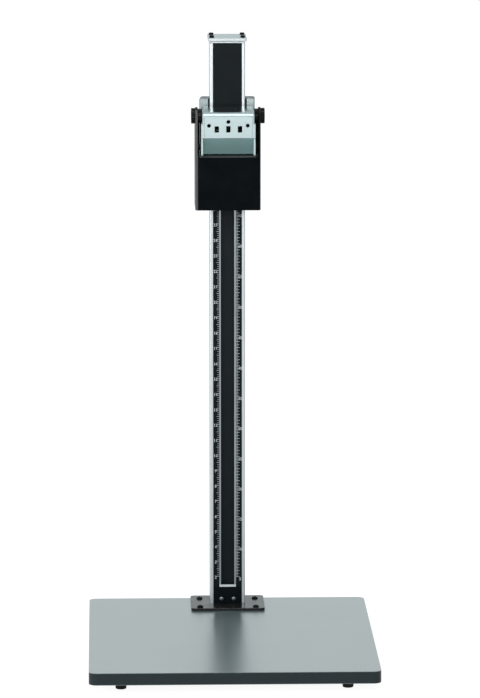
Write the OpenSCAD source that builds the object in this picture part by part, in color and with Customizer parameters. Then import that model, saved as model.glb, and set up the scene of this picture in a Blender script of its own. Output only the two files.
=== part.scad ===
// Copy stand: a laminated baseboard, an upright column with a scale on its front, and a
// carriage with a tilting camera head, held up by a spring tape inside the column.
// Units are millimetres. The stand stands on z = 0 and its front faces -Y.

/* [Baseboard] */
// Width of the baseboard
board_w = 453; // [400:1:600]
// Depth of the baseboard
board_d = 500; // [420:1:650]
// Thickness of the baseboard's core
core_t = 17.8; // [14:0.1:25]
// Thickness of each laminate sheet
laminate_t = 0.8; // [0.6:0.1:1.5]
// Thickness of the edge band round the core
edge_t = 1.2; // [0.8:0.1:3]
// Radius of the baseboard's corners
board_corner_r = 12; // [8:1:30]

/* [Feet] */
// Diameter of a rubber foot
foot_d = 19; // [17:0.5:30]
// Height of a rubber foot
foot_h = 15; // [10:0.5:25]
// Distance from the baseboard's side to a foot's centre
foot_inset_x = 50; // [20:1:80]
// Distance from the baseboard's front or back edge to a foot's centre
foot_inset_y = 41; // [20:1:80]

/* [Foot flange] */
// Width of the foot flange
flange_w = 120; // [112:1:150]
// How far the flange reaches in front of the column
flange_front = 31.5; // [31:0.5:50]
// How far the flange reaches behind the column
flange_back = 1; // [0:0.5:1.8]
// Thickness of the flange
flange_t = 4.5; // [4:0.1:8]
// Radius of the flange's corners
flange_corner_r = 6; // [3:0.5:12]
// Distance between the flange bolts across the stand
flange_bolts_x = 91; // [80:1:94]
// Distance from the column's front to the front flange bolts
flange_bolt_front = 22; // [14:0.5:24]
// Distance from the column's front to the rear flange bolts
flange_bolt_back = 37; // [30:0.5:48]
// Diameter of a flange bolt's head
flange_head_d = 10; // [8:0.5:12]

/* [Column] */
// Width of the column
column_w = 57; // [56:0.5:60]
// Depth of the column
column_d = 60; // [58:0.5:70]
// Height of the column above its flange
column_h = 921.7; // [880:0.1:1100]
// Wall of the column's sides and back
column_wall = 3; // [2.5:0.1:4]
// Wall of the column's front, between the inside and its front face
front_wall = 4; // [3.5:0.1:5]
// Distance from the column's back to the baseboard's back edge
column_inset = 2; // [2:0.5:20]
// Width of the black panels in the column's front
panel_w = 46.5; // [44:0.5:47]
// Thickness of the black panels
panel_t = 1.2; // [0.8:0.1:1.6]
// Clear width of the channel in the column's front
channel_w = 21.8; // [19:0.1:23]
// Width of the silver line round the channel
line_w = 2.6; // [2:0.1:3]
// Height of the channel's lower end above the baseboard
channel_z = 33.1; // [31:0.1:50]
// Depth of the channel behind the column's front
channel_d = 16; // [14:0.5:20]
// Length of the closed panel above the channel
upper_panel_h = 114.2; // [100:0.1:116]

/* [Top cap] */
// Width of the top cap
cap_w = 62; // [60:0.5:70]
// How far the cap reaches past the column's front and back
cap_over = 2.5; // [1:0.1:5]
// Thickness of the cap's plate
cap_t = 5; // [3:0.1:10]
// Height of the cap's plinth, which carries on the column's outline
plinth_h = 3.4; // [2:0.1:6]
// Distance between the cap screws across the stand
cap_screws_x = 50; // [49:0.5:50.5]
// Distance between the cap screws front to back
cap_screws_y = 41; // [38:0.5:43]

/* [Carriage] */
// Distance from the column's top down to the carriage's lower edge
carriage_below_top = 265.7; // [210:0.1:850]
// Width of the black housing
housing_w = 105; // [103:0.5:108]
// Height of the housing's front
housing_front_h = 87; // [84:0.5:88]
// Distance from the column's front to the housing's front
housing_front = 34; // [33.5:0.5:40]
// How far the housing's sides reach behind the column's front
housing_back = 40; // [30:1:45]
// Wall of the housing
housing_wall = 4; // [3:0.1:4.5]
// Radius of the housing's bends
housing_bend_r = 4.5; // [4:0.1:6]
// Clearance between the housing's sides and the aluminium body inside it
cover_gap = 4.5; // [4:0.1:6]
// Height of the aluminium body
body_h = 172.3; // [168:0.1:176]
// Clearance between the column's sides and the body's flanks
slide_gap = 2.5; // [2:0.1:3]
// Depth of the body's back wall
body_back_t = 6; // [4:0.5:10]
// Thickness of the wiper plate on top of the body
wiper_t = 4; // [2.5:0.1:5]
// Slope of the carriage's top, which falls towards the back
top_slope = 9; // [8:0.5:12]

/* [Rollers] */
// Diameter of a roller
roller_d = 15; // [14:0.5:16]
// Width of a roller's tread
roller_w = 4; // [3:0.1:4.5]
// Diameter of the roller axles
axle_d = 5; // [4:0.1:6]
// Height of the lower rollers above the housing's lower edge
roller_low_z = 25; // [20:0.5:30]
// Height of the upper front rollers above the housing's lower edge
roller_front_z = 118; // [112:0.5:120]
// Height of the upper rear rollers above the housing's lower edge
roller_rear_z = 150; // [148:0.5:152]

/* [Camera head] */
// Clearance between the housing's sides and the camera head
head_gap = 5.2; // [4.5:0.1:6]
// Height of the tilt axis above the housing's lower edge
pivot_z = 151.5; // [150.5:0.5:153]
// Distance from the column's front to the tilt axis
pivot_y = 20; // [20:0.5:21]
// Distance from the tilt axis to the head's front plate
head_reach = 40; // [38:0.5:42]
// Thickness of the head's folded plate
head_t = 3.5; // [3:0.1:4]
// Thickness of the head's cheeks
cheek_t = 3; // [2.8:0.1:4]
// How far the front plate hangs below the tilt axis
plate_drop = 31.5; // [30:0.5:34]
// How far the lip and cheeks hang below the tilt axis
lip_drop = 60; // [56:0.5:61]
// Diameter of the round camera holes
camera_hole_d = 5.8; // [5:0.1:7]
// Distance between the two outer round holes
camera_holes_x = 61.8; // [58:0.1:66]
// Width of a camera slot
slot_w = 6.6; // [6:0.1:8]
// Height of a camera slot
slot_h = 10; // [8:0.1:12]
// Distance from one camera slot to the next
slot_step = 18.5; // [16:0.1:20]

/* [Knobs] */
// Diameter of a tilt knob
tilt_knob_d = 25; // [20:0.5:27]
// Thickness of a tilt knob
tilt_knob_t = 6.4; // [5:0.1:9]
// Diameter of the tilt studs
stud_d = 6; // [5:0.1:8]
// Diameter of the friction spacers between head and housing
spacer_d = 23; // [18:0.5:26]
// Diameter of the height lock knob
lock_knob_d = 36; // [28:1:44]
// Thickness of the height lock knob
lock_knob_t = 16; // [12:0.5:22]
// Diameter of the height lock stud
lock_stud_d = 8; // [6:0.1:9]

/* [Counterbalance] */
// Diameter of the spring drum
drum_d = 40; // [36:0.5:42]
// Width of the spring tape
tape_w = 12; // [8:0.5:14]
// Thickness of the spring tape
tape_t = 0.3; // [0.2:0.05:0.5]
// Distance from the column's top to the drum's axis
drum_below_top = 40; // [36:0.5:48]
// Distance from the column's front to the tape
tape_y = 9; // [8:0.5:10]
// Height of the tape's anchor above the housing's lower edge
anchor_z = 56; // [52:0.5:60]

/* [Hidden] */
$fn = 48;

// Clearances: a bolt in its hole, a turning or sliding fit, and a wheel off its rail
fit = 0.05;
running = 0.1;
rail_gap = 0.3;
// How far a cut runs past the face it leaves through
cut = 1;

black = [0.06, 0.06, 0.07];
satin = [0.78, 0.8, 0.8];
steel = [0.6, 0.61, 0.63];
slate = [0.25, 0.29, 0.3];

// Places on the baseboard. Y = 0 is the column's front face in these values.
board_t = core_t + 2 * laminate_t;
board_top = foot_h + board_t;
board_back_y = column_d + column_inset;
board_front_y = board_back_y - board_d;
board_mid_y = (board_front_y + board_back_y) / 2;
core_w = board_w - 2 * edge_t;
core_d = board_d - 2 * edge_t;
foot_x = board_w / 2 - foot_inset_x;
foot_ys = [board_front_y + foot_inset_y, board_back_y - foot_inset_y];
foot_screw_d = 4;
foot_screw_len = 16;
foot_screw_head_d = 8.4;
foot_screw_head_h = 3;
foot_recess_d = 9.5;
foot_recess_h = 9;
foot_taper = 2;

flange_d = flange_front + column_d + flange_back;
flange_mid_y = (column_d + flange_back - flange_front) / 2;
flange_bolt_ys = [-flange_bolt_front, flange_bolt_back];
flange_bolt_d = 6;
flange_head_h = 3.2;
flange_bolt_len = flange_t + board_t - 2;
nut_d = 9;
nut_h = 13;

// The column and what stands in it
column_top = flange_t + column_h;
column_r = 2;
inside_w = column_w - 2 * column_wall;
inside_back_y = column_d - column_wall;
port_d = 3.3;
port_wall_d = 7;
port_x = cap_screws_x / 2;
port_ys = [column_d / 2 - cap_screws_y / 2, column_d / 2 + cap_screws_y / 2];
block_w = 38;
block_d = 34;
block_h = 22;
front_screw_x = 10;
front_screw_z = 13;
front_head_d = 6.8;
front_head_h = 2;
front_screw_d = 3.6;
front_screw_len = 14;
slot_half = channel_w / 2 + line_w;
channel_top = column_top - upper_panel_h;
channel_bar_h = 3.5;
liner_t = 1.2;
liner_flange = 5;
cap_top = column_top + plinth_h + cap_t;
cap_head_d = 7.6;
cap_head_h = 3.2;
cap_screw_len = 20;

// The drum hangs behind the upper panel, with its front tangent to the tape
drum_z = column_top - drum_below_top;
drum_y = tape_y + tape_t + drum_d / 2;
drum_hub_d = 27;
drum_rim_d = drum_d + 5;
drum_rim_t = 1;
drum_side_gap = 0.5;
drum_axle_d = 6;
axle_head_d = 9;
axle_head_t = 1.5;
ear_gap_w = tape_w + 2 * drum_rim_t + 4 * drum_side_gap;
ear_t = 2;
ear_reach = 7;
bracket_h = 30;
liner_top = drum_z - drum_rim_d / 2 - 3;

// The bar that the tape is clamped to
anchor_front = 12;
anchor_back = 3;
anchor_bar_h = 8;
anchor_arm_w = 10;
clamp_t = 1.5;
tape_tuck = 1;
anchor_screw_d = 4;
anchor_screw_len = 24;
anchor_thread_len = 16;
anchor_head_d = 7;
anchor_head_h = 2;

// The carriage, with heights from the housing's lower edge
carriage_z = column_top - carriage_below_top;
body_w = housing_w - 2 * housing_wall - 2 * cover_gap;
body_in_w = column_w + 2 * slide_gap;
flank_t = (body_w - body_in_w) / 2;
flank_mid_x = (body_w + body_in_w) / 4;
body_front_y = 2;
body_z = 4;
body_top = body_z + body_h;
roller_back_gap = 1.5;
rear_axle_y = column_d + rail_gap + roller_d / 2;
front_axle_y = -rail_gap - roller_d / 2;
back_wall_y = rear_axle_y + roller_d / 2 + roller_back_gap;
body_back_y = back_wall_y + body_back_t;
lug_t = 6;
lug_r = 6;
roller_x = (panel_w + column_w) / 4;
roller_hub_d = 9;
roller_hub_over = 1;
roller_edge = 0.5;
front_roller_zs = [roller_low_z, roller_front_z];
rear_roller_zs = [roller_low_z, roller_rear_z];
rear_roller_x = 20;
axle_end_x = body_in_w / 2 + lug_t;
glide_t = slide_gap - rail_gap;
glide_zs = [30, 140];
glide_h = 22;
glide_d = 40;
glide_inset = 10;

// The housing
wall_in_x = housing_w / 2 - housing_wall;
ear_r = 14;
shoulder_a = 48;
housing_rear_h = 135;
floor_t = 3;
floor_gap = 1.5;
cover_screw_zs = [20, 95];
cover_screw_y = 26;
cover_screw_d = 4;
cover_screw_len = 14;
cover_head_d = 8;
cover_head_h = 2.4;
cover_seat_x = housing_w / 2 - cover_head_h;
return_t = 2;
wiper_edge = 0.4;
cover_spacer_d = 10;

// The camera head, as an outline in Y and Z round its tilt axis
head_w = housing_w - 2 * housing_wall - 2 * head_gap;
deck_rear = [10, 14];
fold = [-head_reach, 9.6];
toe = [-head_reach, -plate_drop];
lip_end = [-housing_front + pivot_y, -lip_drop];
cheek_toe = [-head_reach, -lip_drop];
cheek_heel = [lip_end.x + 4, -lip_drop];
cheek_r = 16;
cheek_toe_r = 3;
cheek_heel_r = 5;
cheek_nose_a = -30;
fold_r = 5;
toe_r = 2.5;
plate_in_w = head_w - 2 * cheek_t;
relief = 2;
relief_gap = 0.7;
relief_z = -9;
relief_r = spacer_d / 2 + relief_gap;
outer_hole_z = -11.2;
centre_hole_z = -5;
slot_z = -17;
nut_w = 12;
nut_t = 5;
washer_in_x = head_w / 2 - relief;

// Knobs
knob_edge = 1;
knob_end_t = 2;
tilt_flutes = 20;
tilt_flute_d = 2;
lock_lobes = 8;
lock_lobe_d = 7;
lock_end_t = 4;

// The lock at the back
lock_z = 90;
lock_travel = 2;
pad_gap = 0.35;
pad_t = 2;
shoe_w = 30;
shoe_h = 24;
shoe_t = 5;
shoe_floor = 2;
shoe_y = column_d + pad_gap + pad_t;
guide_d = 3;
guide_x = 10;
guide_end_y = body_back_y - lock_travel - rail_gap;
boss_d = 22;
boss_len = 8;
lock_knob_y = body_back_y + boss_len + rail_gap;
lock_knob_back_y = lock_knob_y + lock_knob_t;

// The frame's origin is under the middle of the whole stand
column_y = -(board_front_y + lock_knob_back_y) / 2;

// Points of a rounded corner at p between its neighbours a and b
function unit(v) = v / norm(v);
function turn(a, b) = b - a > 180 ? b - a - 360 : (b - a < -180 ? b - a + 360 : b - a);
function fillet(a, p, b, r, n = 6) =
  let (u = unit(a - p), v = unit(b - p), half = acos(u * v) / 2)
  let (c = p + unit(u + v) * r / sin(half), s = p + u * r / tan(half) - c)
  let (e = p + v * r / tan(half) - c, a0 = atan2(s.y, s.x), da = turn(a0, atan2(e.y, e.x)))
  [for (i = [0:n]) c + r * [cos(a0 + da * i / n), sin(a0 + da * i / n)]];

// Where the line through p along u meets the line through q along v
function meet(p, u, q, v) =
  p + u * ((q.x - p.x) * v.y - (q.y - p.y) * v.x) / (u.x * v.y - u.y * v.x);

// The stand's own places: on the board's top, and at the carriage's lower edge
module on_board() {
  translate([0, column_y, board_top]) children();
}

module on_carriage() {
  translate([0, column_y, board_top + carriage_z]) children();
}

module on_pivot() {
  on_carriage() translate([0, -pivot_y, pivot_z]) children();
}

// Both sides of the stand, the left one as the mirror image of the right one
module both_sides() {
  for (side = [0, 1]) mirror([side, 0, 0]) children();
}

// An outline drawn in Y and Z, made w wide along X and centred on x
module across(w, x = 0) {
  translate([x, 0, 0]) rotate([90, 0, 90]) linear_extrude(w, center = true) children();
}

// A round bar along X from x to x + len
module bar_x(d, x, len) {
  translate([x, 0, 0]) rotate([0, 90, 0]) cylinder(d = d, h = len);
}

// A round bar along Y from y to y + len
module bar_y(d, y, len) {
  translate([0, y, 0]) rotate([-90, 0, 0]) cylinder(d = d, h = len);
}

module round_rect(w, d, r) {
  square([w - 2 * r, d], center = true);
  square([w, d - 2 * r], center = true);
  for (x = [-1, 1], y = [-1, 1]) translate([x * (w / 2 - r), y * (d / 2 - r)]) circle(r);
}

// A domed head with a hexagon socket, seated on z = 0, and its shank below
module button_screw(d, len, head_d, head_h) {
  dome = [for (a = [0:18:90]) [head_d / 2 * cos(a), head_h * (0.3 + 0.7 * sin(a))]];
  difference() {
    rotate_extrude() polygon(concat([[0, 0], [head_d / 2, 0]], dome));
    translate([0, 0, head_h * 0.45]) cylinder(d = head_d * 0.45, h = head_h, $fn = 6);
  }
  translate([0, 0, -len]) cylinder(d = d, h = len);
}

// A cylindrical head with a hexagon socket, and its shank below
module cap_screw(d, len, head_d, head_h) {
  difference() {
    cylinder(d = head_d, h = head_h);
    translate([0, 0, head_h * 0.4]) cylinder(d = head_d * 0.5, h = head_h, $fn = 6);
  }
  translate([0, 0, -len]) cylinder(d = d, h = len);
}

// Baseboard
module at_feet() {
  for (x = [-foot_x, foot_x], y = foot_ys) translate([x, y, -board_t]) children();
}

module at_flange_bolts() {
  for (x = [-1, 1], y = flange_bolt_ys) translate([x * flange_bolts_x / 2, y, 0]) children();
}

module sheet(z, t) {
  translate([0, board_mid_y, z]) linear_extrude(t) round_rect(board_w, board_d, board_corner_r);
}

module baseboard() {
  color("tan") on_board() difference() {
    translate([0, board_mid_y, laminate_t - board_t]) linear_extrude(core_t)
      round_rect(core_w, core_d, board_corner_r - edge_t);
    at_flange_bolts() {
      translate([0, 0, -board_t]) cylinder(d = flange_bolt_d + 2 * fit, h = board_t);
      translate([0, 0, -board_t]) cylinder(d = nut_d, h = nut_h);
    }
    at_feet() cylinder(d = foot_screw_d, h = foot_screw_len - foot_h + foot_recess_h);
  }
}

module edge_band() {
  color(slate) on_board() translate([0, board_mid_y, laminate_t - board_t])
    linear_extrude(core_t) difference() {
      round_rect(board_w, board_d, board_corner_r);
      round_rect(core_w, core_d, board_corner_r - edge_t);
    }
}

module top_laminate() {
  color(slate) on_board() difference() {
    sheet(-laminate_t, laminate_t);
    at_flange_bolts() translate([0, 0, -board_t]) cylinder(d = flange_bolt_d + 2 * fit, h = board_t + cut);
  }
}

module bottom_laminate() {
  color(slate) on_board() difference() {
    sheet(-board_t, laminate_t);
    at_flange_bolts() translate([0, 0, -board_t - cut]) cylinder(d = nut_d, h = laminate_t + 2 * cut);
    at_feet() translate([0, 0, -cut]) cylinder(d = foot_screw_d, h = laminate_t + 2 * cut);
  }
}

// Feet: a tapered rubber buffer with its screw sunk in from below
module rubber_feet() {
  color(black) on_board() at_feet() mirror([0, 0, 1]) difference() {
    cylinder(d1 = foot_d, d2 = foot_d - foot_taper, h = foot_h);
    translate([0, 0, -cut]) cylinder(d = foot_screw_d, h = foot_h);
    translate([0, 0, foot_h - foot_recess_h]) cylinder(d = foot_recess_d, h = foot_h);
  }
}

module foot_screws() {
  color(steel) on_board() at_feet() translate([0, 0, foot_recess_h - foot_h]) mirror([0, 0, 1])
    button_screw(foot_screw_d, foot_screw_len, foot_screw_head_d, foot_screw_head_h);
}

// Foot flange
module at_ports() {
  for (x = [-port_x, port_x], y = port_ys) translate([x, y, 0]) children();
}

module foot_flange() {
  color(black) on_board() difference() {
    translate([0, flange_mid_y, 0]) linear_extrude(flange_t)
      round_rect(flange_w, flange_d, flange_corner_r);
    at_flange_bolts() translate([0, 0, -cut]) cylinder(d = flange_bolt_d + 2 * fit, h = flange_t + 2 * cut);
    at_ports() {
      translate([0, 0, -cut]) cylinder(d = port_d, h = flange_t + 2 * cut);
      cylinder(d1 = 2 * port_d, d2 = port_d, h = port_d / 2);
    }
  }
}

module flange_bolts() {
  color(black) on_board() at_flange_bolts() translate([0, 0, flange_t])
    button_screw(flange_bolt_d, flange_bolt_len, flange_head_d, flange_head_h);
}

module flange_nuts() {
  color(steel) on_board() at_flange_bolts() translate([0, 0, -board_t]) difference() {
    cylinder(d = nut_d, h = nut_h);
    translate([0, 0, -cut]) cylinder(d = flange_bolt_d, h = nut_h + 2 * cut);
  }
}

// Column
module column_outline() {
  translate([0, column_d / 2]) round_rect(column_w, column_d, column_r);
}

module column() {
  color(satin) on_board() difference() {
    translate([0, 0, flange_t]) linear_extrude(column_h) difference() {
      column_outline();
      difference() {
        translate([-inside_w / 2, front_wall]) square([inside_w, inside_back_y - front_wall]);
        for (x = [-port_x, port_x], y = port_ys) translate([x, y]) circle(d = port_wall_d);
      }
      for (x = [-port_x, port_x], y = port_ys) translate([x, y]) circle(d = port_d);
      translate([-panel_w / 2, -cut]) square([panel_w, panel_t + cut]);
    }
    translate([-slot_half, -cut, channel_z])
      cube([2 * slot_half, front_wall + 2 * cut, channel_top - channel_z]);
    for (x = [-front_screw_x, front_screw_x])
      translate([x, 0, front_screw_z]) bar_y(front_screw_d + 2 * fit, -cut, front_wall + 2 * cut);
  }
}

module column_screws() {
  head_h = port_d / 2;
  color(steel) on_board() at_ports() {
    cylinder(d1 = 2 * port_d, d2 = port_d, h = head_h);
    translate([0, 0, head_h]) cylinder(d = port_d, h = cap_screw_len);
  }
}

// The block inside the column's foot that the two front screws pull on
module column_block() {
  color(satin) on_board() difference() {
    translate([-block_w / 2, front_wall, flange_t]) cube([block_w, block_d, block_h]);
    for (x = [-front_screw_x, front_screw_x])
      translate([x, 0, front_screw_z]) bar_y(front_screw_d, 0, front_screw_len + cut);
  }
}

module front_screws() {
  color("silver") on_board() for (x = [-front_screw_x, front_screw_x])
    translate([x, 0, front_screw_z]) rotate([90, 0, 0])
      button_screw(front_screw_d, front_screw_len, front_head_d, front_head_h);
}

// Black panels let into the column's front
module panel(x, w, z, h) {
  translate([x, 0, z]) cube([w, panel_t, h]);
}

module lower_panel() {
  color(black) on_board() difference() {
    panel(-panel_w / 2, panel_w, flange_t, channel_z - flange_t);
    for (x = [-front_screw_x, front_screw_x])
      translate([x, 0, front_screw_z]) bar_y(front_screw_d + 2 * fit, -cut, panel_t + 2 * cut);
  }
}

module scale_strip(x) {
  panel(x, panel_w / 2 - slot_half, channel_z, channel_top - channel_z);
}

module scale_left() {
  color(black) on_board() scale_strip(-panel_w / 2);
}

module scale_right() {
  color(black) on_board() scale_strip(slot_half);
}

module upper_panel() {
  color(black) on_board() panel(-panel_w / 2, panel_w, channel_top, upper_panel_h);
}

// The bright line round the channel, open at the top
module channel_frame() {
  color("silver") on_board() difference() {
    translate([-slot_half, 0, channel_z]) cube([2 * slot_half, front_wall, channel_top - channel_z]);
    translate([-channel_w / 2, -cut, channel_z + channel_bar_h])
      cube([channel_w, front_wall + 2 * cut, channel_top]);
  }
}

// The trough behind the channel, with flanges on the inside of the column's front
module channel_liner() {
  outer_half = channel_w / 2 + liner_t;
  color(black) on_board() translate([0, 0, channel_z]) linear_extrude(liner_top - channel_z) {
    translate([-outer_half, channel_d - liner_t]) square([2 * outer_half, liner_t]);
    for (side = [-1, 1]) {
      translate([side * (channel_w + liner_t) / 2, (front_wall + channel_d) / 2])
        square([liner_t, channel_d - front_wall], center = true);
      translate([side * (outer_half + liner_flange / 2), front_wall + liner_t / 2])
        square([liner_flange, liner_t], center = true);
    }
  }
}

// Top cap
module top_cap() {
  color(satin) on_board() difference() {
    union() {
      translate([0, 0, column_top]) linear_extrude(plinth_h) column_outline();
      translate([0, column_d / 2, column_top + plinth_h])
        linear_extrude(cap_t) round_rect(cap_w, column_d + 2 * cap_over, column_r);
    }
    at_ports() translate([0, 0, column_top - cut])
      cylinder(d = port_d + 2 * fit, h = plinth_h + cap_t + 2 * cut);
  }
}

module cap_screws() {
  color(black) on_board() at_ports() translate([0, 0, cap_top])
    cap_screw(port_d, cap_screw_len, cap_head_d, cap_head_h);
}

// Spring drum: a coil on a turning hub, between two ears on the column's back wall
module drum_bracket() {
  color(steel) on_board() difference() {
    union() {
      translate([-ear_gap_w / 2 - ear_t, inside_back_y - ear_t, drum_z - bracket_h / 2])
        cube([ear_gap_w + 2 * ear_t, ear_t, bracket_h]);
      for (side = [-1, 1])
        translate([side * (ear_gap_w + ear_t) / 2 - ear_t / 2, drum_y - ear_reach, drum_z - ear_reach])
          cube([ear_t, inside_back_y - drum_y + ear_reach, 2 * ear_reach]);
    }
    translate([0, drum_y, drum_z]) bar_x(drum_axle_d + 2 * fit, -ear_gap_w, 2 * ear_gap_w);
  }
}

module drum_axle() {
  half = ear_gap_w / 2 + ear_t;
  color(steel) on_board() translate([0, drum_y, drum_z]) {
    bar_x(drum_axle_d, -half, 2 * half);
    for (x = [-half - axle_head_t, half]) bar_x(axle_head_d, x, axle_head_t);
  }
}

module spring_drum() {
  half = tape_w / 2 + drum_side_gap;
  color("dimgray") on_board() translate([0, drum_y, drum_z]) difference() {
    union() {
      bar_x(drum_hub_d, -half, 2 * half);
      for (x = [-half - drum_rim_t, half]) bar_x(drum_rim_d, x, drum_rim_t);
    }
    bar_x(drum_axle_d + 2 * running, -ear_gap_w, 2 * ear_gap_w);
  }
}

module spring_coil() {
  color(steel) on_board() translate([0, drum_y, drum_z]) difference() {
    bar_x(drum_d, -tape_w / 2, tape_w);
    bar_x(drum_hub_d, -tape_w, 2 * tape_w);
  }
}

module spring_tape() {
  low = carriage_z + anchor_z + tape_tuck;
  color(steel) on_board() translate([-tape_w / 2, tape_y, low]) cube([tape_w, tape_t, drum_z - low]);
}

// The bar in front of the column that the tape's lower end is clamped to
module tape_anchor() {
  color(satin) on_carriage() translate([0, 0, anchor_z]) difference() {
    union() {
      translate([-body_w / 2, -anchor_front, 0]) cube([body_w, anchor_front - anchor_back, anchor_bar_h]);
      for (side = [-1, 1]) translate([side * flank_mid_x - flank_t / 2, -anchor_back, 0])
        cube([flank_t, body_front_y + anchor_back, anchor_bar_h]);
      translate([-anchor_arm_w / 2, -anchor_back, 0])
        cube([anchor_arm_w, tape_y + anchor_back, anchor_bar_h]);
    }
    for (side = [-1, 1]) translate([side * flank_mid_x, 0, anchor_bar_h / 2])
      bar_y(anchor_screw_d + 2 * fit, -anchor_front - cut, anchor_front + body_front_y + 2 * cut);
  }
}

module anchor_clamp() {
  color(steel) on_carriage() translate([-anchor_arm_w / 2, tape_y + tape_t, anchor_z])
    cube([anchor_arm_w, clamp_t, anchor_bar_h]);
}

module anchor_screws() {
  color(black) on_carriage() for (side = [-1, 1])
    translate([side * flank_mid_x, -anchor_front, anchor_z + anchor_bar_h / 2]) rotate([90, 0, 0])
      button_screw(anchor_screw_d, anchor_screw_len, anchor_head_d, anchor_head_h);
}

// Carriage body: an aluminium channel round the column, open at the front
module body_outline() {
  difference() {
    translate([0, (body_front_y + body_back_y) / 2])
      round_rect(body_w, body_back_y - body_front_y, column_r);
    translate([-body_in_w / 2, -cut]) square([body_in_w, back_wall_y + cut]);
  }
}

// The outline of a lug that stands out in front of a flank
module lug_outline() {
  translate([front_axle_y, 0]) circle(lug_r);
  translate([front_axle_y, -lug_r]) square([body_front_y - front_axle_y, 2 * lug_r]);
}

// The carriage's sloping top, from its front edge
module on_slope() {
  translate([0, body_front_y, body_top]) rotate([-top_slope, 0, 0]) children();
}

// A flat slab on that slope, t thick
module top_slab(t) {
  reach = 2 * body_w;
  on_slope() translate([-reach / 2, -reach / 2, 0]) cube([reach, 1.5 * reach, t]);
}

module carriage_body() {
  color(satin) on_carriage() difference() {
    union() {
      difference() {
        translate([0, 0, body_z]) linear_extrude(body_h) body_outline();
        top_slab(body_h);
      }
      for (side = [-1, 1], z = front_roller_zs)
        translate([side * (body_in_w + lug_t) / 2, 0, z]) across(lug_t) lug_outline();
    }
    for (z = front_roller_zs)
      translate([0, front_axle_y, z]) bar_x(axle_d, -body_w / 2, body_w);
    for (z = rear_roller_zs)
      translate([0, rear_axle_y, z]) bar_x(axle_d, -axle_end_x, 2 * axle_end_x);
    for (side = [-1, 1], z = cover_screw_zs)
      translate([side * flank_mid_x, cover_screw_y, z]) bar_x(cover_screw_d, -flank_t, 2 * flank_t);
    for (side = [-1, 1])
      translate([side * flank_mid_x, 0, anchor_z + anchor_bar_h / 2])
        bar_y(anchor_screw_d, 0, anchor_thread_len);
    translate([0, 0, lock_z]) {
      bar_y(lock_stud_d + 2 * running, back_wall_y - cut, body_back_t + 2 * cut);
      for (x = [-guide_x, guide_x])
        translate([x, 0, 0]) bar_y(guide_d + 2 * running, back_wall_y - cut, body_back_t + 2 * cut);
    }
  }
}

// The black plate on the body's top, close round the column
module wiper_plate() {
  wipe_w = column_w + 2 * rail_gap;
  color(black) on_carriage() difference() {
    intersection() {
      linear_extrude(body_top + 2 * wiper_t) difference() {
        translate([0, (body_front_y + body_back_y) / 2])
          round_rect(body_w, body_back_y - body_front_y, column_r);
        translate([-wipe_w / 2, -cut]) square([wipe_w, column_d + rail_gap + cut]);
      }
      top_slab(wiper_t);
    }
    on_slope() for (side = [-1, 1])
      translate([side * body_w / 2, 2 * body_w, wiper_t]) rotate([90, 0, 0])
        linear_extrude(3 * body_w) mirror([0, 1]) bend_corner(side, wiper_t - wiper_edge);
  }
}

module side_glides() {
  color("ivory") on_carriage() both_sides() for (z = glide_zs)
    translate([column_w / 2 + rail_gap, body_front_y + glide_inset, z]) cube([glide_t, glide_d, glide_h]);
}

// Rollers: four pairs on fixed axles, running on the column's front edges and its back
module front_axles() {
  color(steel) on_carriage() for (z = front_roller_zs)
    translate([0, front_axle_y, z]) bar_x(axle_d, -axle_end_x, 2 * axle_end_x);
}

module rear_axles() {
  color(steel) on_carriage() for (z = rear_roller_zs)
    translate([0, rear_axle_y, z]) bar_x(axle_d, -axle_end_x, 2 * axle_end_x);
}

// A pair of rollers joined by a sleeve, with a crowned tread and a narrower hub
module roller_pair(x) {
  half = roller_w / 2;
  r = roller_d / 2;
  tread = [[0, -half], [r - roller_edge, -half], [r, roller_edge - half]];
  rim = [[r, half - roller_edge], [r - roller_edge, half], [0, half]];
  hub_end = x + half + roller_hub_over;
  difference() {
    union() {
      for (side = [-1, 1]) translate([side * x, 0, 0]) rotate([0, 90, 0])
        rotate_extrude() polygon(concat(tread, rim));
      bar_x(roller_hub_d, -hub_end, 2 * hub_end);
    }
    bar_x(axle_d + 2 * running, -hub_end - cut, 2 * hub_end + 2 * cut);
  }
}

module front_roller_upper() {
  color("white") on_carriage() translate([0, front_axle_y, roller_front_z]) roller_pair(roller_x);
}

module front_roller_lower() {
  color("white") on_carriage() translate([0, front_axle_y, roller_low_z]) roller_pair(roller_x);
}

module rear_roller_upper() {
  color("white") on_carriage() translate([0, rear_axle_y, roller_rear_z]) roller_pair(rear_roller_x);
}

module rear_roller_lower() {
  color("white") on_carriage() translate([0, rear_axle_y, roller_low_z]) roller_pair(rear_roller_x);
}

// Housing: a folded black cover whose sides carry the tilting head
module housing_plan() {
  depth = housing_front + housing_back;
  difference() {
    translate([0, -housing_front + depth / 2]) square([housing_w, depth], center = true);
    translate([0, housing_wall - housing_front + depth / 2])
      square([housing_w - 2 * housing_wall, depth], center = true);
    for (side = [-1, 1]) translate([side * housing_w / 2, -housing_front])
      bend_corner(side, housing_bend_r);
  }
}

// What a bend of radius r takes off a sharp corner
module bend_corner(side, r) {
  difference() {
    square(2 * r, center = true);
    translate([-side * r, r]) circle(r);
    translate([-side * 2 * r, 0]) square([2 * r, 2 * r], center = true);
    translate([0, 2 * r]) square([2 * r, 2 * r], center = true);
  }
}

// The side of the housing, seen from the side: low at the back, an ear at the tilt axis
module housing_side() {
  shoulder = [-pivot_y + ear_r * cos(shoulder_a), pivot_z + ear_r * sin(shoulder_a)];
  polygon([
    [-housing_front, 0], [housing_back, 0], [housing_back, housing_rear_h], shoulder,
    [-pivot_y, pivot_z], [-housing_front, pivot_z]
  ]);
  translate([-pivot_y, pivot_z]) circle(ear_r);
}

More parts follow.
